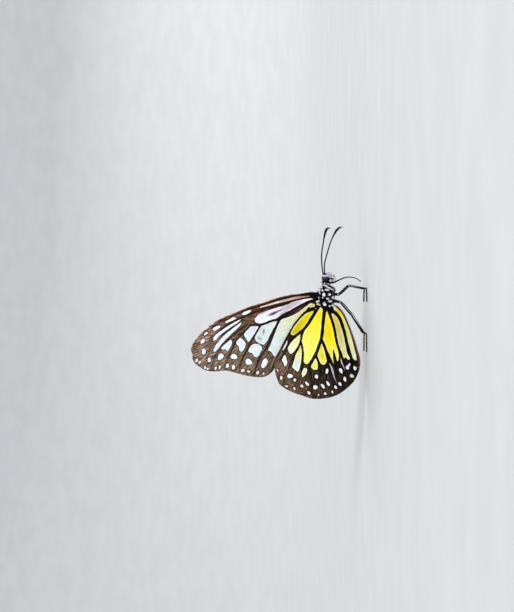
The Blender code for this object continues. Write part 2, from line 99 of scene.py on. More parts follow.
# Veins: half width at the root end, then readings from the root to the margin
FOREWING_VEINS = (
    (0.34, ((318, 293.4), (300.3, 294.2), (277.5, 298.4), (249.4, 307.5), (220.4, 319.5), (206.8, 329),
        (197.8, 338), (193.2, 344.8))),
    (0.26, ((309, 294.9), (292, 296.8), (276, 300.4), (258, 306.4), (240, 312.7), (224, 319.6),
        (209, 329.6))),
    (0.42, ((317, 296.2), (313, 296.5), (296, 299.5), (277, 305.5), (262, 309.5), (250, 314), (243, 317),
        (232, 322.4), (212, 336.5), (196, 352))),
    (0.4, ((317, 299.2), (313.5, 300.5), (300, 306), (289, 312.5), (281, 318), (270, 321.5), (262, 324.5),
        (250, 325))),
    (0.3, ((280, 319.5), (275.3, 328.3), (270.8, 338), (266.5, 348), (260, 357.5), (253.5, 375))),
    (0.3, ((260.5, 325.5), (253.8, 337), (250, 343.5), (247, 349.5), (242.4, 359), (238.5, 372.5))),
    (0.3, ((249, 327), (241, 335.5), (235.5, 342), (232.5, 349), (228, 357), (224, 370))),
    (0.28, ((247.5, 324.5), (238, 331), (230.5, 337.6), (225, 342.4), (220.2, 347.8), (215.6, 355),
        (210.5, 370))),
    (0.26, ((243, 320), (231.9, 327.7), (224.3, 333.5), (218.5, 339), (213.2, 345.4), (208.6, 353),
        (202, 365.8))),
    (0.3, ((309, 308), (296, 326), (282, 349), (271, 372))),
)
HINDWING_VEINS = (
    (0.44, ((317.5, 307.2), (314.5, 308.4), (303, 313.4), (295, 322), (286.5, 337), (279.5, 350),
        (276, 360))),
    (0.46, ((317.5, 308), (313.5, 315), (308, 323.6), (303.5, 329.5), (296, 335.5), (289, 343),
        (285, 351), (281, 358.5), (276.4, 366.8))),
    (0.36, ((302.6, 331), (301.2, 337), (300.4, 342), (296, 352), (291, 361), (287, 371),
        (282.8, 385.5))),
    (0.36, ((300.8, 342), (302.3, 348), (302.7, 359), (301.4, 369), (298.8, 380), (297.8, 394))),
    (0.48, ((324.5, 307.5), (323.2, 320), (321.2, 338), (316.4, 353), (309.5, 365.4), (310.4, 376),
        (311.8, 386), (312.8, 398))),
    (0.36, ((315.4, 356), (319.2, 364), (320, 374), (319.6, 384), (321.8, 398))),
    (0.44, ((321.2, 339), (325.4, 349.5), (329.2, 358.6), (331.4, 370), (331.2, 384), (328.8, 397))),
    (0.42, ((327.6, 308), (333.6, 327), (337.3, 345), (341.5, 356), (344, 365.5), (343.2, 373),
        (342, 381), (343.8, 390))),
    (0.5, ((330, 308.6), (338.4, 316.6), (342.6, 327), (346.6, 343), (350.4, 356), (351.8, 365),
        (348.2, 376), (348.6, 386.5))),
)

# Clear panes: tint towards the root, tint towards the margin, outline
FOREWING_PANES = (
    ("#EBDCEA", "#F1EEFA", ((313.3, 297.4), (304.1, 299.1), (296.4, 300.6), (286, 305.1), (279.6, 306.9),
        (271.9, 309.3), (264.3, 311.6), (259.7, 313.6), (256.6, 316.6), (254.7, 319.3), (255.5, 322),
        (260.4, 323.3), (264.3, 322.7), (268.1, 321.2), (275.7, 318.9), (281.1, 314.8), (286.9, 311.7),
        (294.5, 307.9), (300.3, 304.5), (307.9, 300.6), (313.3, 298.3))),
    ("#F6F8FF", "#F2F8FF", ((241.3, 314.5), (247.4, 310.5), (251.1, 310.1), (247.4, 314.7))),
    ("#F6F8FF", "#F2F8FF", ((225.4, 322.6), (230, 319.1), (233.7, 317.2), (236.1, 317.8), (229.8, 321.6),
        (226, 322.9))),
    ("#F6F8FF", "#F2F8FF", ((213.4, 330.6), (212.8, 329.5), (218.5, 325.8), (221.2, 325.8),
        (217.8, 329.1))),
    ("#E8F2FB", "#E2EFFB", ((213.2, 340.2), (214.3, 336.4), (218.5, 332.2), (224.3, 328), (231.9, 323.7),
        (237.7, 320.7), (241.5, 319.1), (237.7, 322.6), (231.9, 326.4), (224.3, 331.8), (218.5, 336.4),
        (215.1, 340.2))),
    ("#E6F1FB", "#DDEBF9", ((213.9, 351.7), (214.3, 348.2), (218.5, 341.7), (224.3, 335.2),
        (231.9, 329.1), (237.7, 324.9), (241.7, 322.2), (240.3, 325.3), (235.7, 329.9), (230, 335.2),
        (224.3, 341), (219.7, 346.3), (216.6, 350.5), (214.7, 351.9))),
    ("#E2EEF9", "#E0EDF8", ((221.6, 349), (226.2, 343.3), (231.5, 339.8), (231.9, 344), (229.2, 349),
        (227.3, 351.3), (225.4, 349), (222.7, 349.8))),
    ("#DDEAF7", "#E0EDF9", ((240.5, 337.7), (236.3, 343.3), (239, 346.7), (239.4, 350.2), (241.3, 351.9),
        (243.2, 350.5), (245.1, 346.7), (245.5, 343.3), (242.8, 339.4))),
    ("#DAE5F3", "#E0EBF8", ((250.6, 326.8), (258.5, 325.8), (256.2, 330.8), (252.8, 336.1), (248, 341.5),
        (246.3, 338.8), (244.2, 334.4), (246, 331.2))),
    ("#DCEAE6", "#DAE8EE", ((277.1, 321), (270, 322.7), (264.3, 324.7), (260.4, 326.9), (256.2, 333.1),
        (254.9, 337.7), (255.8, 340.7), (259.7, 343.4), (263.9, 344.5), (266.6, 341.5), (270, 335),
        (273.1, 329.2), (275.7, 324.3))),
    ("#DDECEC", "#E0EEF7", ((252.8, 344.4), (257.4, 344), (262, 347.9), (260.4, 352.5), (258.5, 355.9),
        (256.2, 357.4), (253.9, 355.9), (252, 352.8), (249.7, 352.8), (248.2, 351.3), (249.7, 347.9))),
    ("#EDE48C", "#DFEEF2", ((273.8, 355.9), (272.7, 354.4), (270.8, 351.3), (268.1, 350.2),
        (269.6, 346.7), (271.9, 341), (274.2, 335), (277.3, 327.3), (281.1, 319.8), (288.8, 317.1),
        (296.4, 313.3), (302.2, 309.4), (307.9, 304.8), (311, 303.1), (314.8, 304.5), (314.4, 306.8),
        (308, 314), (302, 324), (296, 334), (288, 346), (279, 357))),
)
HINDWING_PANES = (
    ("#EBDA1C", "#D6C010", ((315.2, 310.2), (311.7, 310.2), (306, 313.3), (300.3, 318.6), (295.7, 324.4),
        (291.8, 330.5), (290.7, 333.9), (292.6, 335.1), (296.4, 333.9), (301.4, 330.5), (304.9, 326.3),
        (307.9, 322.4), (311.7, 316.7), (314.4, 312.5))),
    ("#E6F2F2", "#EEF8FF", ((284.5, 353.6), (281.8, 359.2), (283.3, 363), (285.2, 366.4), (287.1, 363),
        (286.4, 358.4), (285.2, 355))),
    ("#F2EE84", "#EFF3D6", ((301.8, 333.5), (296.4, 337), (291.8, 341.6), (288.8, 345.4), (287.9, 349.6),
        (290.2, 353.4), (291, 353.6), (292.9, 352.3), (296.3, 348.1), (298.2, 345), (299.5, 342.3),
        (300.3, 338.9), (301.4, 335.1))),
    ("#F0E95E", "#DDEBF2", ((299.9, 344.3), (301.3, 347.3), (301.3, 356.5), (300.5, 364.1),
        (297.1, 371.4), (294.8, 369.5), (292.1, 366.8), (293.3, 363.4), (294.8, 357.6), (297.1, 350.7))),
    ("#FFF030", "#FFFA74", ((318, 309.2), (323.1, 308.8), (323.3, 311.5), (322.2, 323), (320.2, 334.4),
        (319.9, 338.3), (317.6, 344), (315.3, 350.9), (313, 355.5), (309.3, 361.8), (307.4, 363.8),
        (304.7, 363), (302.8, 359.5), (303, 352.7), (302.4, 345), (301.4, 340.8), (303.3, 333.9),
        (305.2, 329.3), (309.1, 323.2), (312.9, 317.1), (316.7, 311.7))),
    ("#FDE21E", "#FBEC2E", ((326.8, 309.2), (324.8, 313.4), (324.1, 323), (322.5, 334.4), (322.2, 338.3),
        (324.5, 342.9), (327.1, 349.8), (329.4, 354.3), (333.6, 363.8), (332.9, 357.6), (332.5, 348.8),
        (332.3, 347.3), (334.8, 352.7), (336.3, 358.4), (337.3, 361.1), (338.6, 357.6), (338.2, 352.7),
        (337.1, 347.8), (335.2, 338.3), (334, 330.6), (331.7, 321), (329.4, 312.6), (327.5, 309.2))),
    ("#F2E62E", "#EEE85A", ((321, 341.3), (319, 347.4), (317.2, 353.8), (318.7, 359.2), (321.4, 363.8),
        (323.3, 364.7), (326, 362.2), (325.2, 354.6), (323.7, 348.8), (322.2, 345))),
    ("#F2F092", "#EDEC52", ((315.5, 358.2), (313, 362.4), (310.9, 366.8), (313, 369.1), (316.8, 369.5),
        (317.6, 366.4), (317.2, 361.5))),
    ("#E6F2C4", "#D9F1E4", ((304.4, 367.6), (306.3, 368), (306.8, 371.8), (305.1, 374.8), (302.4, 377.1),
        (301.7, 374.8), (302.4, 371))),
    ("#DCC84E", "#DEDFA2", ((331, 313), (336.3, 316.1), (339.8, 321.8), (342.1, 328.7), (344, 338.3),
        (345.5, 345.9), (347, 353.6), (348.2, 355.7), (350.1, 358.8), (348.2, 359.5), (346.3, 357.6),
        (344.7, 356.9), (343.6, 358.8), (341.7, 355.7), (340.1, 350.7), (338.2, 345.9), (336.7, 338.3),
        (334.8, 330.6), (332.9, 321.4))),
    ("#FBE93A", "#E2EDC0", ((331, 308.8), (334.8, 308.4), (338.2, 308.8), (341.7, 311.5), (344.7, 318.4),
        (347.8, 326), (350.1, 332.5), (352, 340.2), (353.9, 347.8), (355.8, 355.5), (356.2, 360.7),
        (353.9, 359.5), (351.2, 353.4), (349, 347.3), (348.2, 344), (346.3, 337.5), (344.4, 329.8),
        (342.1, 323), (338.6, 316.1), (334.8, 311.9), (332.5, 310))),
)

# Narrow streaks: tint at the root end, tint at the far end, half width, taper, line
FOREWING_STREAKS = (
    ("#9A6C5C", "#F6E2D4", 0.34, 0.45, ((309, 296.3), (296.4, 297.8), (286.9, 300), (277.3, 302.4),
        (266.2, 305.6), (260.6, 307.2))),
)
HINDWING_STREAKS = (
    ("#EAD6DA", "#DCC8CC", 0.27, 0.2, ((287.2, 340.8), (286, 344), (284.2, 347.4), (283, 349.6))),
    ("#C6BAC8", "#A89AA6", 0.28, 0.85, ((329.4, 363.6), (331.6, 368), (332.9, 373), (334.6, 378.4),
        (336.8, 383.2))),
    ("#D8CAC6", "#8A7470", 0.19, 0.9, ((340.4, 358), (341.4, 362), (343.3, 366.6), (345.4, 372))),
    ("#CFC2DC", "#CFC2DC", 0.16, 0.2, ((315.1, 308.3), (315.7, 308.7))),
    ("#EFE6F2", "#E4DAEA", 0.2, 0.2, ((333.9, 308.4), (335.6, 307.5), (337.2, 307))),
    ("#CFC2DC", "#CFC2DC", 0.16, 0.2, ((320, 307.2), (320.7, 307.4))),
)

# Round spots: across, down, long, broad, tilt from level in degrees, tint
FOREWING_SPOTS = (
    (206, 333.5, 4.6, 2.6, 35, "#F3F1F6"), (202.7, 341.2, 5.9, 3.5, 62, "#F4FAFF"),
    (203.9, 351.4, 5.7, 4.3, 80, "#F1F6FB"), (209.3, 359.8, 4.7, 3.5, 75, "#EFF2F6"),
    (220.6, 356.7, 7.8, 4.8, 42, "#EEF8FC"), (234, 356.6, 6.1, 5.7, 0, "#F2FAFF"),
    (248.7, 361.8, 7.4, 5.7, -20, "#F0F8FC"), (264.5, 363.2, 9.8, 5.6, 62, "#F2F8FC"),
    (196.9, 360.3, 4, 2.3, 75, "#F6EFEF"), (199.7, 362.4, 4.3, 2, 60, "#F3E4E0"),
    (205.1, 367.4, 3.3, 2.1, 80, "#F6F2F2"), (207.9, 368.8, 2.5, 2, 60, "#EFE6E4"),
    (215.7, 368.1, 3.3, 2.1, 75, "#F4F0F0"), (219.9, 367.1, 4.2, 2, 72, "#F6F4F2"),
    (227.4, 365.7, 5, 2.8, 72, "#F8F6F6"), (233.4, 367.2, 4.5, 3.1, 95, "#F8F4F2"),
    (243, 370.5, 3.7, 3.3, 0, "#F4EEEE"), (248.6, 371.5, 3.1, 2.7, 0, "#F2ECEC"),
    (257.6, 372.6, 4.1, 2.5, 72, "#F4F2EE"), (263.5, 373.6, 2.6, 1.8, 75, "#EAE4E0"),
    (317.4, 301, 3.8, 3.2, 0, "#F8F4FA"), (318.4, 304.4, 3.8, 2.4, -20, "#EDE6D8"),
    (318, 293.2, 2, 3, 0, "#D9CFD4"), (318.4, 297.6, 2, 1.7, 0, "#D6CAD0"),
)
HINDWING_SPOTS = (
    (277.5, 370.1, 2.8, 1.9, 100, "#EBD3C9"), (281.1, 377.7, 4.5, 2.3, 100, "#F2EDF2"),
    (286.4, 386, 3.5, 2.2, -25, "#F4EAE6"), (289.9, 375.9, 5.2, 4.6, -20, "#F4F6FA"),
    (294.7, 379.9, 3.5, 2.7, 72, "#EAE8EC"), (294.3, 388.4, 3, 2.2, -50, "#EDE0DC"),
    (301.8, 385.9, 3.5, 2.4, -35, "#EDE3DD"), (307, 383.5, 5.2, 2.8, -55, "#ECEFF2"),
    (301.9, 392.6, 2, 1.4, -30, "#8E6E66"), (308.8, 392.6, 4.2, 2.5, -50, "#F8F6F6"),
    (315.1, 387.1, 4.9, 4.3, -30, "#EDEAE0"), (316.3, 376.4, 3.8, 3.4, -40, "#E9F2E8"),
    (322.7, 385.9, 5.5, 2.8, -50, "#F4F0E8"), (318.4, 394.7, 2.1, 1.6, -60, "#E3DCD6"),
    (325.1, 393.5, 3, 2.2, -45, "#F2EEE8"), (326.8, 371.2, 5.2, 2.8, 88, "#F6F8EE"),
    (327.8, 383.3, 5.2, 2.6, -65, "#F6F0EE"), (332.2, 391.8, 3, 2, -60, "#F2ECEC"),
    (335.4, 387, 4.2, 2.4, -55, "#F8F4F6"), (339.8, 383.9, 4.2, 2.5, -60, "#F8F2F4"),
    (340.7, 370.6, 5.8, 3.1, -70, "#EEF4FC"), (344.4, 378.7, 5, 2.9, -60, "#F2F4F4"),
    (347.2, 367.4, 4.4, 3, -80, "#E8E4F4"), (349, 364.6, 3.4, 2, 62, "#E4E0F0"),
    (351.4, 375.6, 4.3, 3.6, -45, "#DEDFD0"), (354.6, 368, 4.1, 3.1, -55, "#E6E8DE"),
    (358.3, 367, 2, 1.2, -80, "#8A625C"), (324.6, 305, 3.4, 2.6, -40, "#F4F8FF"),
    (329.3, 306.2, 2.6, 2.8, 70, "#F4F2F8"), (332.9, 305.4, 3.6, 2.6, -20, "#FAF8FC"),
)

# Flecks of another colour inside a pane: across, down, long, broad, tilt, tint, strength
FOREWING_FLECKS = (
    (263.7, 331.5, 9.5, 2.6, 82, "#A87B42", 0.9), (259.8, 338.4, 7.5, 4.2, -35, "#A9A27A", 0.75),
    (256, 349, 8, 3, 60, "#EEF3D2", 0.5), (262, 312.6, 14, 3.6, 20, "#A8959E", 0.75),
    (291, 305.4, 30, 7, 25, "#B8AAB4", 0.8), (284, 312.5, 20, 2.6, 30, "#B4A2AE", 0.7),
    (307, 299.6, 16, 2.6, 22, "#F8F8FF", 0.9), (268, 317.6, 16, 3.6, 22, "#F4F8FF", 0.9),
    (273.4, 313.4, 15, 3.6, 25, "#4A201C", 1), (279.5, 310.4, 8, 1.6, 25, "#3A1410", 1),
    (276.5, 302.1, 9, 2.2, 15, "#FFF3E8", 0.9), (291, 298.6, 8, 1.2, 12, "#F2D9CB", 0.8),
    (298, 310.8, 16, 3, 32, "#BFA58E", 0.75), (286, 338, 30, 2.6, 62, "#F4F1AE", 0.8),
    (243, 334, 6, 2, 80, "#CFE4F4", 0.5),
)
HINDWING_FLECKS = (
    (328.4, 330, 26, 3, -80, "#F7C21A", 0.55), (321, 314, 5, 2, 70, "#E0C400", 0.5),
    (306, 346, 26, 5, 80, "#FFFFB0", 0.35), (317, 322, 20, 4.5, 72, "#FFF228", 0.5),
    (338.5, 331, 34, 3, -76, "#CDB56C", 0.55), (337.5, 311.5, 7, 3.4, -40, "#E3B92C", 0.7),
    (322, 355, 9, 3, -82, "#DCD43A", 0.6), (299.5, 346.5, 5, 1.6, 82, "#E9D62A", 0.6),
)

# Ground colours that fade into one another: across, down, colour
FOREWING_GROUNDS = (
    (316, 297, "#120806"), (290, 299, "#4E2A1E"), (262, 306, "#664030"), (228, 318, "#6B4C3A"),
    (200, 338, "#816554"), (199, 357, "#74604F"), (238, 364, "#675541"), (270, 366, "#614E3D"),
    (240, 330, "#594633"), (285, 325, "#1A0F0A"),
)
HINDWING_GROUNDS = (
    (322, 307, "#060303"), (290, 336, "#281812"), (277, 362, "#725645"), (292, 388, "#604A35"),
    (300, 366, "#453226"), (318, 380, "#281C12"), (322, 396, "#3E2C20"), (332, 366, "#030202"),
    (345, 386, "#1C110C"), (350, 362, "#080403"), (335, 330, "#070404"),
)

# White dots on both sides of the body, in readings: across, down, long, broad, tint
SIDE_DOTS = (
    (321.5, 287.2, 2.3, 2.1, "#E8E8EE"), (322.3, 290, 2.3, 2.4, "#F4F6FA"),
    (326.8, 289.5, 4.8, 2.1, "#F6F8FA"), (318.9, 289.9, 3, 2.4, "#F2EEF2"),
    (318.9, 293, 3.2, 3.4, "#F4F0F4"), (323.7, 294.3, 3.4, 4.3, "#F4F6FC"),
    (322.3, 297.4, 1.4, 1.4, "#DDE2EC"), (329.3, 294, 3.2, 2.7, "#F4F6FA"),
    (332.9, 297.2, 3.6, 2.6, "#F4F6FC"), (327.5, 298.2, 3.4, 2.3, "#E4E6EC"),
    (318.6, 301, 4.4, 3.2, "#EFE6F2"), (318.5, 304.2, 4, 2.2, "#E9DFC8"),
    (324.2, 303.6, 4, 4.4, "#FBFDFF"), (330, 300.8, 4.8, 2.6, "#FFFFFF"),
    (329, 305.3, 2.8, 3.1, "#F2F2F6"), (332.7, 304, 3.4, 2.4, "#F2F2F6"),
    (324.3, 283, 1.8, 1.5, "#EFDDE2"), (327.2, 283.6, 2.4, 1.1, "#CDA7AA"),
    (320.9, 284, 2.2, 1.6, "#E6E0E4"), (330.4, 280.4, 3.2, 3, "#F4EEF2"),
    (329.9, 284.9, 2.8, 1.1, "#C4C6CC"), (321.8, 274.2, 1.4, 1, "#C7BBD6"),
)

# White stripes slanting down the shoulder: half width, tint, line
SIDE_STRIPES = (
    (0.22, "#FFFFFF", ((323.6, 284.7), (328, 287), (334.8, 290.8))),
    (0.12, "#EFE6E6", ((327.6, 283.4), (331, 285), (334.6, 287.6))),
)

# Dots along the back and the belly, in millimetres: forward, apart, radius
BACK_DOTS = ((6.6, 0.0, 0.42), (5.2, 0.75, 0.5), (3.7, 0.0, 0.5), (2.6, 0.8, 0.45), (7.4, 0.7, 0.35))
BELLY_DOTS = ((7.0, 0.6, 0.45), (5.6, 0.9, 0.5), (4.2, 0.7, 0.5), (2.8, 0.6, 0.45))


def colour(code):
    """A printed colour as the linear values that a shader takes. Values pass as they are."""
    if not isinstance(code, str):
        return code
    parts = np.array([int(code[i:i + 2], 16) for i in (1, 3, 5)]) / 255
    return np.where(parts > 0.04045, ((parts + 0.055) / 1.055) ** 2.4, parts / 12.92)


def flat(readings):
    """Side-view readings as millimetres forward and up."""
    readings = np.asarray(readings, float)
    forward = (MIDDLE_DOWN - readings[..., 1]) * STEP
    return np.stack([forward, (FLOOR_ACROSS - readings[..., 0]) * STEP], -1)


def reading(points):
    """Millimetres forward and up as side-view readings, across and down."""
    return FLOOR_ACROSS - points[..., 1] / STEP, MIDDLE_DOWN - points[..., 0] / STEP


def place(across, down, apart=0.0):
    forward, up = flat((across, down))
    return np.array((forward, apart, up))


def eased(low, high, value):
    t = np.clip((value - low) / (high - low), 0, 1)
    return t * t * (3 - 2 * t)


def mixed(first, second, share):
    first, second = colour(first), colour(second)
    return first + (second - first) * np.asarray(share)[..., None]


def unit(ways, least=0.0):
    """Each way drawn to a length of one."""
    return ways / (np.linalg.norm(ways, axis=1)[:, None] + least)


def square_on(ways):
    return np.stack([-ways[:, 1], ways[:, 0]], 1)


def search_tree(points):
    """A tree that finds the nearest of some points."""
    tree = KDTree(len(points))
    for i, point in enumerate(points):
        tree.insert(point, i)
    tree.balance()
    return tree


def smooth_line(knots, spacing, closed=False):
    """Points about `spacing` apart on a smooth line through the knots."""
    knots = np.asarray(knots, float)
    if closed:
        before, after = np.roll(knots, 1, 0), np.roll(knots, -1, 0)
    else:
        before = np.vstack([2 * knots[0] - knots[1], knots[:-1]])
        after = np.vstack([knots[1:], 2 * knots[-1] - knots[-2]])
    back = np.linalg.norm(knots - before, axis=1)[:, None]
    onward = np.linalg.norm(after - knots, axis=1)[:, None]
    slope = ((knots - before) / back * onward + (after - knots) / onward * back) / (back + onward)
    out = []
    for i in range(len(knots) if closed else len(knots) - 1):
        j = (i + 1) % len(knots)
        length = onward[i, 0]
        steps = max(1, round(length / spacing))
        t = np.arange(steps)[:, None] / steps
        out.append((2 * t**3 - 3 * t**2 + 1) * knots[i] + (t**3 - 2 * t**2 + t) * length * slope[i]
                   + (3 * t**2 - 2 * t**3) * knots[j] + (t**3 - t**2) * length * slope[j])
    return np.vstack(out if closed else out + [knots[-1:]])


def from_line(points, line):
    """How far each flat point lies from a line."""
    nearest = np.full(len(points), 99.0)
    for a, b in zip(line[:-1], line[1:]):
        span = b - a
        t = np.clip((points - a) @ span / (span @ span + 1e-12), 0, 1)
        nearest = np.minimum(nearest, np.hypot(*(points - a - t[:, None] * span).T))
    return nearest


def inside(points, ring):
    """Whether each flat point lies inside a closed line."""
    odd = np.zeros(len(points), bool)
    for a, b in zip(ring, np.roll(ring, -1, 0)):
        crosses = (a[1] > points[:, 1]) != (b[1] > points[:, 1])
        reach = a[0] + (points[:, 1] - a[1]) * (b[0] - a[0]) / (b[1] - a[1] + 1e-12)
        odd ^= crosses & (points[:, 0] < reach)
    return odd


def blob(across, down, long, broad, tilt, rng):
    """An uneven round outline, in flat millimetres."""
    turns = np.arange(14) / 14 * 2 * math.pi
    wave = 1 + 0.1 * np.sin(2 * turns + rng.uniform(0, 6)) + 0.07 * np.sin(3 * turns + rng.uniform(0, 6))
    along = 0.5 * long * wave * np.cos(turns)
    over = 0.5 * broad * wave * np.sin(turns)
    c, s = math.cos(math.radians(tilt)), math.sin(math.radians(tilt))
    return flat(np.stack([across + along * c - over * s, down - along * s - over * c], -1))


def in_fleck(points, across, down, long, broad, tilt):
    """1 at the middle of an oval patch, fading to 0 at its edge."""
    a, d = reading(points)
    c, s = math.cos(math.radians(tilt)), math.sin(math.radians(tilt))
    along = ((a - across) * c - (d - down) * s) / (0.5 * long)
    over = ((a - across) * s + (d - down) * c) / (0.5 * broad)
    return 1 - eased(0.35, 1.1, np.hypot(along, over))


def near_root(away, reach):
    """1 at a wing's root, fading out beyond the reach."""
    return np.exp(-((away / reach) ** 2))


# Where the wings stand across the body, as in the solids
def forewing_apart(across, down):
    away = np.hypot(across - HINGE[0], down - HINGE[1]) * STEP
    return FOREWING_APART + 0.9 * near_root(away, 5.0)


def hindwing_apart(across, down):
    """The hindwing lies outside the forewing and bulges round the body."""
    shares = np.arange(len(ABDOMEN_RADII)) / (len(ABDOMEN_RADII) - 1)
    rings = [(ABDOMEN_START[0] + t * (ABDOMEN_END[0] - ABDOMEN_START[0]),
              ABDOMEN_START[1] + t * (ABDOMEN_END[1] - ABDOMEN_START[1]), r, r)
             for t, r in zip(shares, ABDOMEN_RADII)]
    table = np.array(list(THORAX) + rings).T
    middle, high, wide = (np.interp(down, table[1], table[i]) for i in (0, 2, 3))
    away = np.where((down > table[1, 0]) & (down < table[1, -1]), abs(across - middle) * STEP, 100.0)
    over = (wide + BODY_CLEARANCE) * (1 - eased(0.5 * high, high + 3.6, away))
    under = forewing_apart(across, down) + HINDWING_STEP
    return 0.5 * (under + over + np.sqrt((under - over) ** 2 + 0.25**2))


FOREWING = {
    "edge": FOREWING_EDGE, "veins": FOREWING_VEINS, "panes": FOREWING_PANES,
    "streaks": FOREWING_STREAKS, "spots": FOREWING_SPOTS,
    "flecks": FOREWING_FLECKS, "grounds": FOREWING_GROUNDS, "root": (319.0, 298.5),
    "apart": forewing_apart, "edges": ((FOREWING_EDGE[2:13], "#C4A083", 0.38),),
    "outer": FOREWING_EDGE[12:28], "inner": (), "rim": "#FFFFFF", "border": 0.3,
}
HINDWING = {
    "edge": HINDWING_EDGE, "veins": HINDWING_VEINS, "panes": HINDWING_PANES,
    "streaks": HINDWING_STREAKS, "spots": HINDWING_SPOTS,
    "flecks": HINDWING_FLECKS, "grounds": HINDWING_GROUNDS, "root": (323.0, 303.0),
    "apart": hindwing_apart, "edges": (
        (HINDWING_EDGE[1:12], "#1E120C", 0.36), (HINDWING_EDGE[25:32], "#7E4A42", 0.36)),
    "outer": HINDWING_EDGE[11:27], "inner": HINDWING_EDGE[25:34], "rim": "#FFFFC8", "border": 0.42,
}


def tidy_line(knots, spacing, inset=0.0):
    """A closed smooth edge, drawn in by `inset`."""
    line = smooth_line(knots, spacing, closed=True)
    aside = square_on(unit(np.roll(line, -1, 0) - np.roll(line, 1, 0)))
    if inside(line + 0.3 * aside, line)[::7].mean() <= 0.5:
        aside = -aside
    return line + inset * aside


def closed_shapes(plan):
    """The smooth outlines of a wing's panes, then the uneven ones of its spots."""
    rng = np.random.default_rng(SPOT_SEED)
    panes = [smooth_line(flat(ring), 0.35, closed=True) for *_, ring in plan["panes"]]
    return panes + [blob(*spot, rng) for *spot, _ in plan["spots"]]


def wing_markings(points, plan):
    """For flat points: depth in a pane, its tint, the ground, and how far vein, rim and root are."""
    root = flat(plan["root"])
    from_root = np.linalg.norm(points - root, axis=1)
    depth = np.full(len(points), -9.0)
    tint = np.ones((len(points), 3))
    shades = [(near, far, plan["rim"]) for near, far, _ in plan["panes"]]
    shades += [(tone, tone, tone) for *_, tone in plan["spots"]]
    for (near, far, edge), ring in zip(shades, closed_shapes(plan)):
        away = from_line(points, np.vstack([ring, ring[:1]]))
        here = np.where(inside(points, ring), away, -away)
        reach = np.linalg.norm(ring - root, axis=1)
        t = eased(reach.min(), reach.max(), from_root)
        shade = mixed(near, far, t)
        shade = mixed(shade, edge, 0.65 * (1 - eased(0.0, 0.42, away)))
        tint = np.where((here > depth)[:, None], shade, tint)
        depth = np.maximum(depth, here)
    rib = np.full(len(points), 9.0)
    for half, line in plan["veins"]:
        half = half * (1.1 - 0.45 * from_root / from_root.max())
        away = from_line(points, smooth_line(flat(line), 0.6))
        rib = np.minimum(rib, away / half)
        depth = np.minimum(depth, away - half)
    for near, far, half, taper, line in plan["streaks"]:
        line = smooth_line(flat(line), 0.4)
        away = from_line(points, line)
        t = np.linalg.norm(points - line[0], axis=1) / np.linalg.norm(line[-1] - line[0])
        breadth = half * (0.45 + 0.55 * eased(0.0, 0.3, t)) * (1 - taper * eased(0.35, 1.0, t))
        here = breadth - away
        tint = np.where((here > depth)[:, None], mixed(near, far, np.clip(t, 0, 1)), tint)
        depth = np.maximum(depth, here)
    for *oval, tone, strength in plan["flecks"]:
        tint = mixed(tint, tone, strength * in_fleck(points, *oval))
    anchors = flat([(a, d) for a, d, _ in plan["grounds"]])
    tones = np.array([colour(tone) for *_, tone in plan["grounds"]])
    share = 1 / (np.linalg.norm(points[:, None] - anchors, axis=2) ** 3 + 0.6)
    ground = share @ tones / share.sum(1)[:, None]
    edge_line = tidy_line(flat(plan["edge"]), 0.4)
    rim = from_line(points, np.vstack([edge_line, edge_line[:1]]))
    for line, tone, reach in plan["edges"]:
        near = 1 - eased(0.4 * reach, reach, from_line(points, smooth_line(flat(line), 0.5)))
        ground = mixed(ground, tone, 0.85 * near)
        rib = rib + 9 * near
    return depth, tint, ground, rib, rim, from_root


def wing_plan(plan):
    """A flat wing split into small triangles that keep its panes and veins as edges."""
    rim = tidy_line(flat(plan["edge"]), 0.3, inset=0.16)
    closed = closed_shapes(plan)
    opened = [smooth_line(flat(line), 0.42) for _, line in plan["veins"]]
    opened += [smooth_line(flat(line), 0.3) for *_, line in plan["streaks"]]
    points, edges = [], []
    for i, line in enumerate([rim] + closed + opened):
        start = sum(map(len, points))
        points.append(line)
        last = start + len(line) - 1
        edges += [(point, point + 1) for point in range(start, last)]
        if i <= len(closed):
            edges.append((last, start))
    sides = []
    for (half, _), line in zip(plan["veins"], opened):
        aside = square_on(unit(np.gradient(line, axis=0)))
        sides += [line + offset * half * aside for offset in (-0.5, 0.5, -1.0, 1.0)]
    hearts = [ring.mean(0) + (ring - ring.mean(0)) * 0.45 for ring in closed[len(plan["panes"]):]]
    low, high = rim.min(0), rim.max(0)
    wide, tall = 0.36, 0.31
    across, up = np.meshgrid(np.arange(low[0], high[0], wide), np.arange(low[1], high[1], tall))
    across[::2] += wide / 2
    grid = np.stack([across.ravel(), up.ravel()], 1)
    for loose, clear in ((np.vstack(hearts), 0.08), (np.vstack(sides), 0.13), (grid, 0.2)):
        tree = search_tree([(*p, 0.0) for p in np.vstack(points)])
        loose = loose[inside(loose, rim)]
        points.append(np.array([p for p in loose if tree.find((*p, 0.0))[2] > clear]))
    flat_points = [Vector(p) for p in np.vstack(points)]
    made, _, faces, *_ = delaunay_2d_cdt(flat_points, edges, [list(range(len(rim)))], 1, 1e-3)
    faces = np.array(faces)
    used = np.unique(faces)
    renumber = np.zeros(len(made), int)
    renumber[used] = np.arange(len(used))
    return np.array([made[i][:] for i in used]), renumber[faces]


def in_scene(name, data):
    obj = bpy.data.objects.new(name, data)
    bpy.context.scene.collection.objects.link(obj)
    return obj


def new_piece(name, points, faces):
    """A mesh piece from points in millimetres."""
    data = bpy.data.meshes.new(name)
    data.from_pydata((np.asarray(points) * MM).tolist(), [], [list(map(int, f)) for f in faces])
    return in_scene(name, data)


def alone(obj):
    """Selects one piece and nothing else."""
    bpy.ops.object.select_all(action="DESELECT")
    obj.select_set(True)
    bpy.context.view_layer.objects.active = obj


def edit_all():
    """Opens the active piece for editing, with all of it selected."""
    bpy.ops.object.mode_set(mode="EDIT")
    bpy.ops.mesh.select_all(action="SELECT")


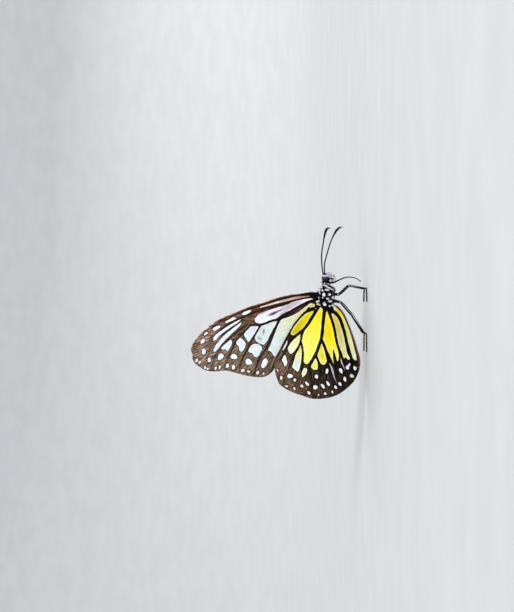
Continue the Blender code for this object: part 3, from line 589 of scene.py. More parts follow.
def closed_up(obj, weld=0.0):
    """Welds doubles, turns all faces outwards and shades the piece smooth."""
    alone(obj)
    edit_all()
    if weld:
        bpy.ops.mesh.remove_doubles(threshold=weld * MM)
    bpy.ops.mesh.normals_make_consistent(inside=False)
    bpy.ops.object.mode_set(mode="OBJECT")
    bpy.ops.object.shade_smooth_by_angle(angle=CREASE)


def mark(obj, label, values):
    """Keeps one value or one colour for each vertex of a piece."""
    values = np.asarray(values, np.float32)
    if values.ndim == 1:
        obj.data.attributes.new(label, "FLOAT", "POINT").data.foreach_set("value", values)
        return
    tones = np.hstack([values, np.ones((len(values), 1), np.float32)])
    obj.data.attributes.new(label, "FLOAT_COLOR", "POINT").data.foreach_set("color", tones.ravel())


def dress(obj, finish, slot, *nodes):
    """Gives a piece its finish, its body and the solids that it stands for."""
    obj.data.materials.clear()
    obj.data.materials.append(finish)
    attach(obj, "root")
    if nodes:
        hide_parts(*nodes)
    return obj


# Shader helpers
def add(tree, kind, inputs=None, **settings):
    """One node, with links or fixed values given by socket."""
    made = tree.nodes.new("ShaderNode" + kind)
    for key, value in settings.items():
        setattr(made, key, value)
    for key, value in (inputs or {}).items():
        if isinstance(value, bpy.types.NodeSocket):
            tree.links.new(value, made.inputs[key])
        else:
            made.inputs[key].default_value = value
    return made


def sums(tree, how, first, second):
    return add(tree, "Math", {0: first, 1: second}, operation=how).outputs[0]


def blend(tree, share, first, second, how="MIX"):
    inputs = {0: share, 6: first, 7: second}
    return add(tree, "Mix", inputs, data_type="RGBA", blend_type=how).outputs[2]


def ramp(tree, value, low, high, start=0.0, end=1.0):
    inputs = {0: value, 1: low, 2: high, 3: start, 4: end}
    return add(tree, "MapRange", inputs, interpolation_type="SMOOTHSTEP").outputs[0]


def product(tree, first, second):
    return blend(tree, 1.0, first, second, "MULTIPLY")


def place_of(tree):
    return add(tree, "TexCoord").outputs["Object"]


def noise(tree, where, scale, detail=2.0):
    return add(tree, "TexNoise", {"Vector": where, "Scale": scale, "Detail": detail}).outputs[0]


def kept(tree, label, kind="Fac"):
    """What mark keeps on a mesh: Fac for a value, Color for a colour."""
    return add(tree, "Attribute", attribute_name=label).outputs[kind]


def feed(tree, sockets, **values):
    """Links to named sockets, with _ where a name has a space."""
    for key, value in values.items():
        tree.links.new(value, sockets[key.replace("_", " ")])


def shader_group(name, inputs, outputs):
    """A named node group with its inputs and outputs ready to use."""
    tree = bpy.data.node_groups.new(name, "ShaderNodeTree")
    for sockets, way in ((inputs, "INPUT"), (outputs, "OUTPUT")):
        for label, kind in sockets.items():
            tree.interface.new_socket(label, in_out=way, socket_type="NodeSocket" + kind)
    return tree, tree.nodes.new("NodeGroupInput").outputs, tree.nodes.new("NodeGroupOutput").inputs


def grain_group():
    """Uneven grain and the height of small lapped scales, by cells per metre."""
    outputs = {"Grain": "Float", "Height": "Float"}
    tree, given, out = shader_group("scale_grain", {"Cells": "Float"}, outputs)
    where = place_of(tree)
    grain = noise(tree, where, given["Cells"], 3.0)
    finer = sums(tree, "MULTIPLY", given["Cells"], 1.6)
    cells = add(tree, "TexVoronoi", {"Vector": where, "Scale": finer}).outputs["Distance"]
    feed(tree, out, Grain=grain, Height=sums(tree, "SUBTRACT", grain, cells))
    return tree


def wing_group(grain):
    """Colour, roughness and height of a scaled wing from the markings kept on its mesh."""
    inputs = {"Root Forward": "Float", "Root Up": "Float", "Border": "Float", "Streaks": "Float"}
    outputs = {"Color": "Color", "Roughness": "Float", "Height": "Float"}
    tree, given, out = shader_group("wing_scales", inputs, outputs)
    depth = kept(tree, "depth")
    tint = kept(tree, "tint", "Color")
    ground = kept(tree, "ground", "Color")
    rib = kept(tree, "rib")
    where = place_of(tree)
    parts = add(tree, "SeparateXYZ", {0: where})
    forward = sums(tree, "SUBTRACT", parts.outputs[0], given["Root Forward"])
    up = sums(tree, "SUBTRACT", parts.outputs[2], given["Root Up"])
    turn = sums(tree, "ARCTAN2", forward, up)
    squares = [sums(tree, "MULTIPLY", way, way) for way in (forward, up)]
    away = sums(tree, "POWER", sums(tree, "ADD", *squares), 0.5)

    def rays(across, along, detail):
        """Noise drawn out along the way from the wing's root."""
        parts = {0: sums(tree, "MULTIPLY", turn, across), 1: sums(tree, "MULTIPLY", away, along)}
        return noise(tree, add(tree, "CombineXYZ", parts).outputs[0], 1.0, detail)

    lines = rays(170.0, 520.0, 2.0)
    broad = rays(84.0, 300.0, 2.5)
    fine = add(tree, "Group", {"Cells": 9000.0}, node_tree=grain).outputs
    coarse = noise(tree, where, 900.0)
    ragged = sums(tree, "ADD", depth, ramp(tree, fine["Grain"], 0.3, 0.7, -0.045, 0.045))
    ragged = sums(tree, "ADD", ragged, ramp(tree, coarse, 0.35, 0.65, -0.025, 0.025))
    pane = ramp(tree, ragged, -0.035, 0.035)
    pale = product(tree, tint, ramp(tree, coarse, 0.3, 0.7, 0.95, 1.05))
    pale = product(tree, pale, ramp(tree, lines, 0.3, 0.7, 0.92, 1.05))
    both = sums(tree, "ADD", sums(tree, "MULTIPLY", broad, 0.48), sums(tree, "MULTIPLY", lines, 0.52))
    light_lines = sums(tree, "MULTIPLY", ramp(tree, both, 0.5, 0.6), given["Streaks"])
    dark_lines = sums(tree, "MULTIPLY", ramp(tree, both, 0.48, 0.38), given["Streaks"])
    lighter = product(tree, ground, (3.3, 3.6, 4.4, 1.0))
    scales = blend(tree, light_lines, ground, blend(tree, 0.04, lighter, (0.6, 0.5, 0.4, 1.0)))
    scales = blend(tree, dark_lines, scales, blend(tree, 0.85, ground, (0.01, 0.005, 0.004, 1.0)))
    near = ramp(tree, sums(tree, "ADD", ragged, given["Border"]), 0.0, 0.25, 0.0, 0.88)
    near = sums(tree, "MAXIMUM", near, ramp(tree, rib, 1.3, 0.8, 0.0, 0.8))
    scales = blend(tree, near, scales, (0.004, 0.002, 0.002, 1.0))
    scales = product(tree, scales, ramp(tree, fine["Grain"], 0.3, 0.75, 0.72, 1.35))
    feed(tree, out, Color=blend(tree, pane, scales, pale),
         Roughness=ramp(tree, pane, 0.0, 1.0, 0.62, 0.4),
         Height=sums(tree, "ADD", fine["Height"], sums(tree, "MULTIPLY", lines, 0.7)))
    return tree


def principled(name, **fixed):
    """A material and its shader, with the constant values set on the shader."""
    made = bpy.data.materials.new(name)
    made.use_nodes = True
    shader = made.node_tree.nodes["Principled BSDF"]
    for key, value in fixed.items():
        shader.inputs[key.replace("_", " ")].default_value = value
    return made, made.node_tree, shader


def finished(tree, shader, tone, rough, height, distance, strength=0.6):
    """Links the colour, the roughness and the bump of a material."""
    feed(tree, shader.inputs, Base_Color=tone, Roughness=rough)
    bump = add(tree, "Bump", {"Height": height, "Distance": distance, "Strength": strength})
    feed(tree, shader.inputs, Normal=bump.outputs[0])


def wing_finish(name, group, plan, streaks):
    made, tree, shader = principled(name, Specular_IOR_Level=0.06)
    forward, up = flat(plan["root"]) * MM
    inputs = {"Root Forward": forward, "Root Up": up, "Border": plan["border"], "Streaks": streaks}
    marks = add(tree, "Group", inputs, node_tree=group).outputs
    finished(tree, shader, marks["Color"], marks["Roughness"], marks["Height"], 0.00003)
    return made


def tinted_finish(name, grain, cells, rough, bump, **fixed):
    """A finish whose colour is kept on the mesh, broken up by grain."""
    made, tree, shader = principled(name, **fixed)
    tint = kept(tree, "tint", "Color")
    fine = add(tree, "Group", {"Cells": cells}, node_tree=grain).outputs
    tone = product(tree, tint, ramp(tree, fine["Grain"], 0.3, 0.7, 0.75, 1.2))
    rough = ramp(tree, fine["Grain"], 0.3, 0.7, rough - 0.08, rough + 0.08)
    finished(tree, shader, tone, rough, fine["Height"], bump)
    return made


def eye_finish():
    """Black-violet facets, with a painted highlight that makes them paler and more lilac towards the top
    of the eye.
    """
    made, tree, shader = principled(
        "eye_facets", Coat_Weight=0.14, Coat_Roughness=0.12, Specular_IOR_Level=0.2, Sheen_Weight=0.02,
        Sheen_Tint=(0.5, 0.38, 0.8, 1.0))
    where = place_of(tree)
    clouds = noise(tree, where, 900.0)
    cloudy = ramp(tree, clouds, 0.35, 0.65)
    tone = blend(tree, cloudy, (0.006, 0.004, 0.011, 1.0), (0.018, 0.01, 0.03, 1.0))
    forward = add(tree, "SeparateXYZ", {0: where}).outputs[0]
    middle = flat(EYE_PLACE[:2])[0] * MM
    # Painted highlight: the eye's forward side, which is its top in the side view, is painted paler and
    # lilac.
    painted_highlight = ramp(tree, forward, middle - 0.0002, middle + 0.0004, 0.0, 0.8)
    tone = blend(tree, painted_highlight, tone, (0.21, 0.15, 0.34, 1.0))
    cells = add(tree, "TexVoronoi", {"Vector": where, "Scale": 24000.0}).outputs["Distance"]
    # Painted highlight and shade: each facet is painted lighter in its middle and darker towards the
    # grooves between facets.
    tone = product(tree, tone, ramp(tree, cells, 0.2, 0.7, 1.15, 0.6))
    finished(tree, shader, tone, ramp(tree, clouds, 0.35, 0.65, 0.2, 0.3), cells, 0.000003, 0.35)
    return made


GRAIN = grain_group()
WINGS = wing_group(GRAIN)
FINISHES = {
    "forewing": wing_finish("forewing_scales", WINGS, FOREWING, 1.0),
    "hindwing": wing_finish("hindwing_scales", WINGS, HINDWING, 0.9),
    "skin": tinted_finish("black_skin", GRAIN, 5200.0, 0.5, 0.00003, Specular_IOR_Level=0.1),
    "coat": tinted_finish("body_scales", GRAIN, 9000.0, 0.6, 0.00001, Specular_IOR_Level=0.05),
    "horn": tinted_finish(
        "dark_horn", GRAIN, 7000.0, 0.38, 0.000012, Coat_Weight=0.03, Specular_IOR_Level=0.12),
    "eye": eye_finish(),
}


# Tufts, hairs and lapped scales
def tufts(name, roots, outs, lies, lengths, widths, lifts, tints, unwrap, slot):
    """Tapered blades joined as one piece, each a small patch on the unwrap where its root stands."""
    count = len(roots)
    asides = unit(np.cross(lies, outs))
    long, wide, lift = (np.broadcast_to(v, count)[:, None] for v in (lengths, widths, lifts))
    thick = wide * 0.3
    middle = roots + lies * long * 0.45 + outs * lift
    corners = np.stack([
        roots - asides * wide * 0.35 - outs * 0.04, roots + asides * wide * 0.35 - outs * 0.04,
        roots + outs * thick, middle - asides * wide * 0.5, middle + asides * wide * 0.5,
        middle + outs * thick, roots + lies * long + outs * lift * 0.7], 1)
    pattern = np.array([
        (0, 1, 4), (0, 4, 3), (1, 2, 5), (1, 5, 4), (2, 0, 3), (2, 3, 5), (3, 4, 6), (4, 5, 6),
        (5, 3, 6), (0, 2, 1)])
    faces = (pattern[None] + 7 * np.arange(count)[:, None, None]).reshape(-1, 3)
    obj = new_piece(name, corners.reshape(-1, 3), faces)
    # Painted shade and light: each blade is darker at its root, where blades overlap, and a little
    # lighter on its raised top and tip.
    shade = np.array([0.75, 0.75, 0.85, 1.0, 1.0, 1.05, 1.1])
    mark(obj, "tint", np.minimum(tints[:, None] * shade[None, :, None], WHITEST).reshape(-1, 3))
    patch = 0.0015 * np.array([(-1, -1), (1, -1), (0, -1), (-1, 0), (1, 0), (0, 0), (0, 1)])
    spread = (np.clip(unwrap, 0.002, 0.998)[:, None] + patch[None]).reshape(-1, 2)
    layer = obj.data.uv_layers.new(name="OFBake")
    layer.data.foreach_set("uv", spread[faces.ravel()].astype(np.float32).ravel())
    obj.data.shade_smooth()
    dress(obj, FINISHES["coat"], slot)


def roots_on(obj, wanted, rng, density=None):
    """Seeded places all over a piece, and the way each faces."""
    mesh = obj.data
    mesh.calc_loop_triangles()
    corners = np.empty(len(mesh.loop_triangles) * 3, np.int32)
    mesh.loop_triangles.foreach_get("vertices", corners)
    points = np.empty(len(mesh.vertices) * 3)
    mesh.vertices.foreach_get("co", points)
    triangles = (points.reshape(-1, 3) / MM)[corners.reshape(-1, 3)]
    across = np.cross(triangles[:, 1] - triangles[:, 0], triangles[:, 2] - triangles[:, 0])
    weight = np.linalg.norm(across, axis=1)
    facing = across / (weight[:, None] + 1e-12)
    if density is not None:
        weight = weight * density(triangles.mean(1), facing)
    picked = rng.choice(len(weight), wanted, p=weight / weight.sum())
    share = rng.random((wanted, 2))
    share = np.where(share.sum(1, keepdims=True) > 1, 1 - share, share)
    share = np.hstack([1 - share.sum(1, keepdims=True), share])
    return (triangles[picked] * share[..., None]).sum(1), facing[picked]


def combed(outs, flow, rng, jitter=0.25):
    """The way each blade lies: the flow laid along the surface, a little unruly."""
    lies = flow + rng.normal(0, jitter, outs.shape)
    return unit(lies - outs * (lies * outs).sum(1, keepdims=True), 1e-9)


# Wings
def wing_relief(rib, rim, from_root):
    """How far the veins stand up, how far the membrane sinks between them, and half its thickness."""
    edge = eased(0.1, 0.5, rim)
    rise = (0.04 + 0.07 * edge) * np.clip(1 - rib**2, 0, 1) ** 2
    sink = -0.06 * eased(1.0, 4.0, rib)
    return rise, sink, 0.02 + 0.025 * edge + 0.09 * near_root(from_root, 2.5)


def wing(label, hand, side, plan, points, faces, marks):
    """One wing as a closed thin sheet, with lapped scales on both its faces."""
    depth, tint, ground, rib, rim, from_root = marks
    rise, sink, half = wing_relief(rib, rim, from_root)
    rib = np.maximum(rib, 1.1 * eased(0.6, 0.8, from_root / from_root.max()))
    marks = depth, tint, ground, rib, rim, from_root
    middle = plan["apart"](*reading(points)) + sink
    outer = np.insert(points, 1, hand * (middle + half + rise), axis=1)
    inner = np.insert(points, 1, hand * (middle - half - 0.5 * rise), axis=1)
    count = len(points)
    pairs = np.sort(np.vstack([faces[:, [0, 1]], faces[:, [1, 2]], faces[:, [2, 0]]]), axis=1)
    ends, times = np.unique(pairs, axis=0, return_counts=True)
    rims = ends[times == 1]
    walls = np.stack([rims[:, 0], rims[:, 1], rims[:, 1] + count, rims[:, 0] + count], 1)
    shell = list(faces) + list(faces + count) + list(walls)
    obj = new_piece(f"{label}_{side}_membrane", np.vstack([outer, inner]), shell)
    for key, values in (("depth", depth), ("tint", tint), ("ground", ground), ("rib", rib)):
        mark(obj, key, np.concatenate([values, values]))
    closed_up(obj)
    dress(obj, FINISHES[label], label, f"{label}_{side}")
    lapped_scales(label, hand, side, plan, (outer, inner), faces, marks)


def lapped_scales(label, hand, side, plan, sheets, faces, marks):
    """Scales lapped outwards over the coloured ground, drawn out to hair near the wing's root."""
    depth, _, ground, rib, _, from_root = marks
    wanted = 6500
    rng = np.random.default_rng(len(faces) + hand)
    on_vein = 1 - eased(0.8, 1.3, rib)
    dark = np.maximum(0.88 * eased(-plan["border"], 0.25 - plan["border"], depth), 0.8 * on_vein)
    shades = mixed(ground, "#0C0807", dark)
    flat_sides = sheets[0][faces][:, :, [0, 2]]
    spans = flat_sides[:, 1:] - flat_sides[:, :1]
    crowded = 1 + on_vein + 2 * near_root(from_root, HAIR_REACH)
    weight = abs(np.linalg.det(spans)) * crowded[faces].mean(1) * (depth[faces].max(1) < 0.03)
    gathered = []
    for sheet, outwards in zip(sheets, (hand, -hand)):
        picked = rng.choice(len(faces), wanted, p=weight / weight.sum())
        corners = faces[picked]
        share = rng.dirichlet((1, 1, 1), wanted)[..., None]
        roots = (sheet[corners] * share).sum(1)
        first, second, third = (sheet[corner] for corner in corners.T)
        out = np.cross(second - first, third - first)
        out *= np.sign(out[:, 1:2] * outwards) / np.linalg.norm(out, axis=1)[:, None]
        onward = (roots - place(*plan["root"])) * (1, 0, 1)
        lies = combed(out, onward / 10.0, rng, 0.12)
        hairy = near_root(np.linalg.norm(onward[:, [0, 2]], axis=1), HAIR_REACH)
        tints = (shades[corners] * share).sum(1) * rng.uniform(0.35, 2.1, (wanted, 1))
        low, high = sheet.min(0)[[0, 2]], sheet.max(0)[[0, 2]]
        corner = (0.01 + 0.5 * (outwards > 0), 0.01)
        spread = (roots[:, [0, 2]] - low) / (high - low) * (0.48, 0.98) + corner
        sizes = rng.uniform(0.7, 1.1, wanted)
        gathered.append((roots, out, lies, (0.2 + 0.4 * hairy) * sizes, 0.09 - 0.045 * hairy,
                         0.012 + 0.09 * hairy * rng.random(wanted), tints, spread))
    made = [np.concatenate(values) for values in zip(*gathered)]
    tufts(f"{label}_{side}_scales", *made, label)


def margin_blades(line, plan, spacing, inset):
    """Roots of the blades along part of a wing's edge, the ways outwards and the ways along."""
    line = smooth_line(flat(line), spacing)
    way = unit(np.gradient(line, axis=0))
    out = square_on(way)
    edge = smooth_line(flat(plan["edge"]), 0.5, closed=True)
    if inside(line + 0.4 * out, edge).mean() > 0.5:
        out = -out
    return line - inset * out, out, way


def fringes(rng):
    """Short lapped scales round the outer margins and longer hair down the hindwings' inner margins."""
    gathered = []
    corner = 0
    for plan in (FOREWING, HINDWING):
        for hand, _ in SIDES:
            rows = [(plan["outer"], 0.12, 0.2, 0.2, 0.1, None)] * 2
            for inset in (0.75, 0.6, 0.45, 0.3) if plan["inner"] else ():
                rows.append((plan["inner"], 0.1, inset, 0.62, 0.06, "#8A5A50"))
            for row, (line, spacing, inset, length, width, tone) in enumerate(rows):
                root, out, way = margin_blades(line, plan, spacing, inset)
                count = len(root)
                lean = rng.normal(0, 0.25, count)[:, None]
                lean = lean + (0.5 if tone else 0.0) * np.sign(-way[:, :1])
                lie = unit(out + way * lean)
                apart = plan["apart"](*reading(root)) + (0.06 if row % 2 else 0.0)
                _, _, ground, *_ = wing_markings(root, plan)
                shade = ground * rng.uniform(0.6, 1.5, (count, 1))
                if tone:
                    shade = mixed(tone, ground, rng.uniform(0.0, 0.6, count))
                corners = flat(plan["edge"])
                spread = (root - corners.min(0)) / (corners.max(0) - corners.min(0))
                spread = spread * 0.48 + 0.01 + 0.5 * np.array((corner % 2, corner // 2))
                gathered.append((
                    np.insert(root, 1, hand * apart, axis=1), np.tile((0.0, hand, 0.0), (count, 1)),
                    np.insert(lie, 1, 0.0, axis=1), length * rng.uniform(0.7, 1.05, count),
                    np.full(count, width), np.zeros(count), shade, spread))
            corner += 1
    made = [np.concatenate(values) for values in zip(*gathered)]
    tufts("wing_fringes", *made, "forewing")


for label, plan in (("forewing", FOREWING), ("hindwing", HINDWING)):
    points, faces = wing_plan(plan)
    marks = wing_markings(points, plan)
    for hand, side in SIDES:
        wing(label, hand, side, plan, points, faces, marks)
fringes(np.random.default_rng(5))


# Body
def merged_copy(node):
    """A copy of one solid's shape, welded into one shell."""
    copy = in_scene("loose_" + node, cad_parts[node].data.copy())
    closed_up(copy, weld=WELD)
    return copy


def ball(name, centre, radii):
    """A sphere drawn out to three radii at its place."""
    bpy.ops.mesh.primitive_uv_sphere_add(
        segments=32, ring_count=20, radius=MM, location=Vector(centre) * MM, scale=radii)
    obj = bpy.context.object
    obj.name = name
    bpy.ops.object.transform_apply(location=True, rotation=True, scale=True)
    return obj


def apply_modifier(obj, kind, **settings):
    alone(obj)
    made = obj.modifiers.new(kind.lower(), kind)
    for key, value in settings.items():
        setattr(made, key, value)
    bpy.ops.object.modifier_apply(modifier=made.name)


def shape_of(obj):
    """The points of a piece in millimetres, and the way each faces."""
    points = np.array([v.co[:] for v in obj.data.vertices]) / MM
    return points, np.array([v.normal[:] for v in obj.data.vertices])


def body_tints(points, outs):
    """Black scales with white dots, a pale face with painted bluish shade towards its back, and an ochre
    belly, for points and the way they face.
    """
    across, down = reading(points[:, [0, 2]])
    t = np.clip((down - ABDOMEN_START[1]) / (ABDOMEN_END[1] - ABDOMEN_START[1]), 0, 1)
    phase = (t * (len(ABDOMEN_RADII) - 1)) % 1.0
    belly = mixed("#C8963C", "#E6D9B4", 1 - eased(0.0, 0.25, phase))
    upper = mixed("#1C1410", "#6B5A3C", 1 - eased(0.0, 0.14, phase))
    rings = mixed(belly, upper, eased(-0.15, 0.35, outs[:, 2]))
    tint = mixed("#0C080A", rings, eased(307.5, 309.0, down))
    side = np.abs(outs[:, 1])
    for a, d, long, broad, tone in SIDE_DOTS:
        far = np.hypot((across - a) / (0.5 * long), (down - d) / (0.5 * broad))
        tint = mixed(tint, colour(tone) * DOT_GAIN, (1 - eased(0.8, 1.02, far)) * eased(0.0, 0.15, side))
    for half, tone, line in SIDE_STRIPES:
        near = 1 - eased(0.8 * half, 1.3 * half, from_line(points[:, [0, 2]], flat(line)))
        tint = mixed(tint, colour(tone) * DOT_GAIN, near * eased(0.0, 0.2, side))
    for dots, tone, facing in ((BACK_DOTS, "#E9E6EC", outs[:, 2]), (BELLY_DOTS, "#EFEAE4", -outs[:, 2])):
        for forward, apart, size in dots:
            far = np.hypot(points[:, 0] - forward, abs(points[:, 1]) - apart) / size
            tint = mixed(tint, tone, (1 - eased(0.8, 1.1, far)) * eased(0.3, 0.6, facing))
    face = np.linalg.norm((points - place(329.3, 275.1)) / (1.1, 1.3, 1.08), axis=1)
    face = 1 - eased(0.88, 1.04, face)
    face = face * (1 - 0.9 * (1 - eased(0.04, 0.13, abs(points[:, 1]))))
    # Painted shade: the pale face turns bluish towards its back.
    face_with_painted_shade = mixed("#F4ECF6", "#A9B8EA", 0.4 * (1 - eased(10.9, 11.6, points[:, 0])))
    return mixed(tint, face_with_painted_shade, face)


def body_unwrap(points):
    """An unwrap of the body round its own long axis."""
    _, down = reading(points[:, [0, 2]])
    top, length = 270.0, 95.0
    neck = (326.5, 284.0)
    t = np.clip((down - neck[1]) / (ABDOMEN_END[1] - neck[1]), 0, 1)
    up = (FLOOR_ACROSS - (neck[0] + t * t * (ABDOMEN_END[0] - neck[0]))) * STEP
    turn = np.arctan2(points[:, 1], points[:, 2] - up) / (2 * math.pi) + 0.5
    return np.stack([turn, (down - top) / length], 1)


def body_skin():
    """One seamless skin inside the solids of the head, collar, thorax and abdomen."""
    parts = [merged_copy(node) for node in ("thorax", "collar", "abdomen")]
    grain, smoothing = 0.1, 0.5
    balls = [
        ("skull", (326.9, 277.8), (1.45, 1.2, 1.5)), ("frons", (329.3, 275.3), (1.02, 0.82, 0.95)),
        ("mouth", (330.6, 280.2), (1.0, 0.85, 0.9)), ("neck", (326.4, 282.4), (1.3, 1.2, 1.45)),
        ("waist", (329.6, 308.0), (1.4, 1.15, 1.2)),
    ]
    for hand, _ in SIDES:
        balls.append(("brow", (324.0, 275.2, hand * 0.62), (0.55, 0.5, 0.55)))
        balls.append(("cheek", (328.8, 280.6, hand * 0.7), (0.85, 0.65, 0.85)))
    parts += [ball(name, place(*centre), radii) for name, centre, radii in balls]
    alone(parts[0])
    for part in parts:
        part.select_set(True)
    bpy.ops.object.join()
    skin = bpy.context.object
    skin.name = "body_skin"
    apply_modifier(skin, "REMESH", mode="VOXEL", voxel_size=grain * MM)
    apply_modifier(skin, "SMOOTH", factor=smoothing, iterations=5)
    apply_modifier(skin, "DISPLACE", strength=-SKIN_DEPTH * MM, mid_level=0.0)
    apply_modifier(skin, "SMOOTH", factor=smoothing, iterations=2)
    bpy.ops.object.shade_smooth()
    mark(skin, "tint", body_tints(*shape_of(skin)))
    return dress(skin, FINISHES["skin"], "body", "thorax", "collar", "abdomen", "head")


def eye_middle(hand):
    across, down, apart = EYE_PLACE
    return place(across, down, hand * apart)


def clear_of_eyes(points):
    away = [np.linalg.norm(points - eye_middle(hand), axis=1) for hand, _ in SIDES]
    return np.min(away, axis=0) > EYE_RADIUS + 0.04


def body_coat(name, skin, wanted, first, last, flow, length, width, lift, seed, upper=-1.1, tone=None):
    """The coat on one stretch of the body, between two readings down."""
    rng = np.random.default_rng(seed)

    def stretch(points, facing):
        _, down = reading(points[:, [0, 2]])
        here = (down > first) & (down < last) & (facing[:, 2] > upper)
        return (here & clear_of_eyes(points)).astype(float)

    roots, outs = roots_on(skin, wanted, rng, stretch)
    lies = combed(outs, np.array(flow), rng)
    tints = body_tints(roots, outs) if tone is None else np.tile(colour(tone), (wanted, 1))
    tints = tints * rng.uniform(0.85, 1.15, (wanted, 1))
    sizes = rng.uniform(0.7, 1.15, wanted)
    tufts(name, roots, outs, lies, length * sizes, width * sizes, lift * sizes, tints,
          body_unwrap(roots), "body")


# Coat pieces: blades, first and last reading down, flow, length, width, lift, seed
skin = body_skin()
body_coat("head_coat", skin, 4600, 268.0, 283.6, (-0.6, 0.0, -0.7), 0.28, 0.06, 0.06, 21)
body_coat("thorax_coat", skin, 17000, 283.6, 308.5, (-1.0, 0.0, 0.1), 0.34, 0.08, 0.045, 22)
body_coat("abdomen_coat", skin, 13000, 308.5, 364.0, (-1.0, 0.0, -0.33), 0.3, 0.13, 0.02, 23)
body_coat("nape_tuft", skin, 420, 283.0, 285.6, (0.35, 0.0, 0.5), 0.7, 0.06, 0.3, 24, 0.72, "#EFE8EC")


# Eyes
def faceted_eye(hand, side):
    """A dome of small raised facets."""
    bpy.ops.mesh.primitive_ico_sphere_add(
        subdivisions=5, radius=EYE_RADIUS * MM * DOME_SHARE, location=Vector(eye_middle(hand)) * MM)
    obj = bpy.context.object
    obj.name = f"eye_{side}_faceted"
    groove, rise = 0.005, 0.0025
    edit_all()
    bpy.ops.mesh.inset(thickness=groove * MM, depth=rise * MM, use_individual=True)
    bpy.ops.object.mode_set(mode="OBJECT")
    bpy.ops.object.transform_apply(location=True, rotation=True, scale=True)
    bpy.ops.object.shade_smooth_by_angle(angle=math.radians(12))
    dress(obj, FINISHES["eye"], "eye", "eye_" + side)


def eye_crest(hand, side, rng):
    """A crescent of white scales that lap back over the outer side of the eye; they are partly real white
    scales and partly a painted highlight at the top of the eye.
    """
    outs = unit(rng.normal(size=(6000, 3)))
    brim = 0.42 + 0.5 * abs(outs[:, 2] - 0.1) ** 2
    outs = outs[(outs[:, 0] > brim) & (outs[:, 0] < 0.84) & (outs[:, 1] * hand > 0.15)][:460]
    roots = eye_middle(hand) + outs * EYE_RADIUS * DOME_SHARE
    lies = combed(outs, np.array((-1.0, 0.0, 0.0)), rng)
    tints = np.tile(colour("#FBF4FC"), (len(outs), 1)) * rng.uniform(0.9, 1.15, (len(outs), 1))
    unwrap = 0.5 + 0.3 * outs[:, 1:]
    tufts(f"eye_crest_{side}", roots, outs, lies, 0.2, 0.06, 0.03, tints, unwrap, "body")


rng = np.random.default_rng(27)
for hand, side in SIDES:
    faceted_eye(hand, side)
    eye_crest(hand, side, rng)


# Feelers, tongue, palps and legs
def in_place(route, hand):
    return [place(across, down, hand * apart) for across, down, apart in route]


def tube(name, points, radii, sides=4):
    """A limb drawn as a bevelled path with its own radius at each point, all in millimetres."""
    bpy.ops.curve.primitive_nurbs_path_add()
    obj = bpy.context.object
    obj.name = name
    curve = obj.data
    curve.splines.clear()
    curve.bevel_depth = MM
    curve.bevel_resolution = sides
    curve.use_fill_caps = True
    spline = curve.splines.new("POLY")
    spline.points.add(len(points) - 1)
    for knot, point, radius in zip(spline.points, points, radii):
        knot.co = (*(np.asarray(point) * MM), 1.0)
        knot.radius = radius
    alone(obj)
    bpy.ops.object.convert(target="MESH")
    closed_up(obj, weld=WELD)
    tree = search_tree([Vector(point) * MM for point in points])
    along = [tree.find(v.co)[1] / (len(points) - 1) for v in obj.data.vertices]
    return obj, np.array(along)


NEAR_ANTENNA = (
    (323.6, 275.5, 0.5), (322.9, 272.7, 0.6), (321.5, 262, 1.9), (321.3, 254, 3.3), (322.3, 246, 4.7),
    (323.5, 238, 6.2), (324.5, 233.3, 7), (326, 230, 7.6), (328, 229, 8), (329.4, 229.9, 8.2),
)
FAR_ANTENNA = (
    (324.6, 275, 0.5), (324.6, 272, 0.6), (324.7, 264, 1.3), (326.5, 256.5, 2.2), (329, 248, 3.1),
    (332, 239.5, 4.1), (335.3, 232.8, 4.9), (338.5, 228.3, 5.4), (341, 226.7, 5.6), (344, 226.3, 5.7),
)


def antenna(hand, side, route, tip):
    """A ringed feeler that thickens into a slim club."""
    path = smooth_line(in_place(route, hand), 0.1)
    share = np.linspace(0, 1, len(path))
    swell = 0.18 + 0.08 * (1 - eased(0.0, 0.05, share)) + 0.17 * eased(0.68, 0.88, share)
    swell *= 1 - 0.85 * eased(0.92, 1.0, share)
    ring = (np.arange(len(path)) % 4 != 0) * 0.025
    obj, along = tube(f"antenna_{side}_ringed", path, swell + ring)
    tint = mixed("#100D0B", "#1E1A12", eased(0.15, 0.6, along))
    tint = mixed(tint, tip, 0.85 * eased(0.86, 0.97, along))
    groove = (np.round(along * (len(path) - 1)).astype(int) % 4 == 0) * 0.7
    mark(obj, "tint", mixed(tint, "#0A0808", groove))
    dress(obj, FINISHES["horn"], "limb", "antenna_" + side)


antenna(-1, "right", NEAR_ANTENNA, "#2E2420")
antenna(1, "left", FAR_ANTENNA, "#8A5A40")


def proboscis():
    """The tongue, held out, with fine rings down it."""
    route = ((330.2, 281.0), (331.4, 282.9), (333.2, 282.7), (338.4, 280.3), (346.0, 277.4),
             (354.0, 277.6), (361.0, 281.4))
    path = smooth_line([place(a, d) for a, d in route], 0.09)
    share = np.linspace(0, 1, len(path))
    radii = 0.22 - 0.09 * eased(0.1, 1.0, share) + 0.008 * (np.arange(len(path)) % 2)
    obj, along = tube("proboscis_ringed", path, radii)
    mark(obj, "tint", mixed("#1B141E", "#4A2E22", eased(0.3, 1.0, along)))
    dress(obj, FINISHES["horn"], "limb", "proboscis")


proboscis()


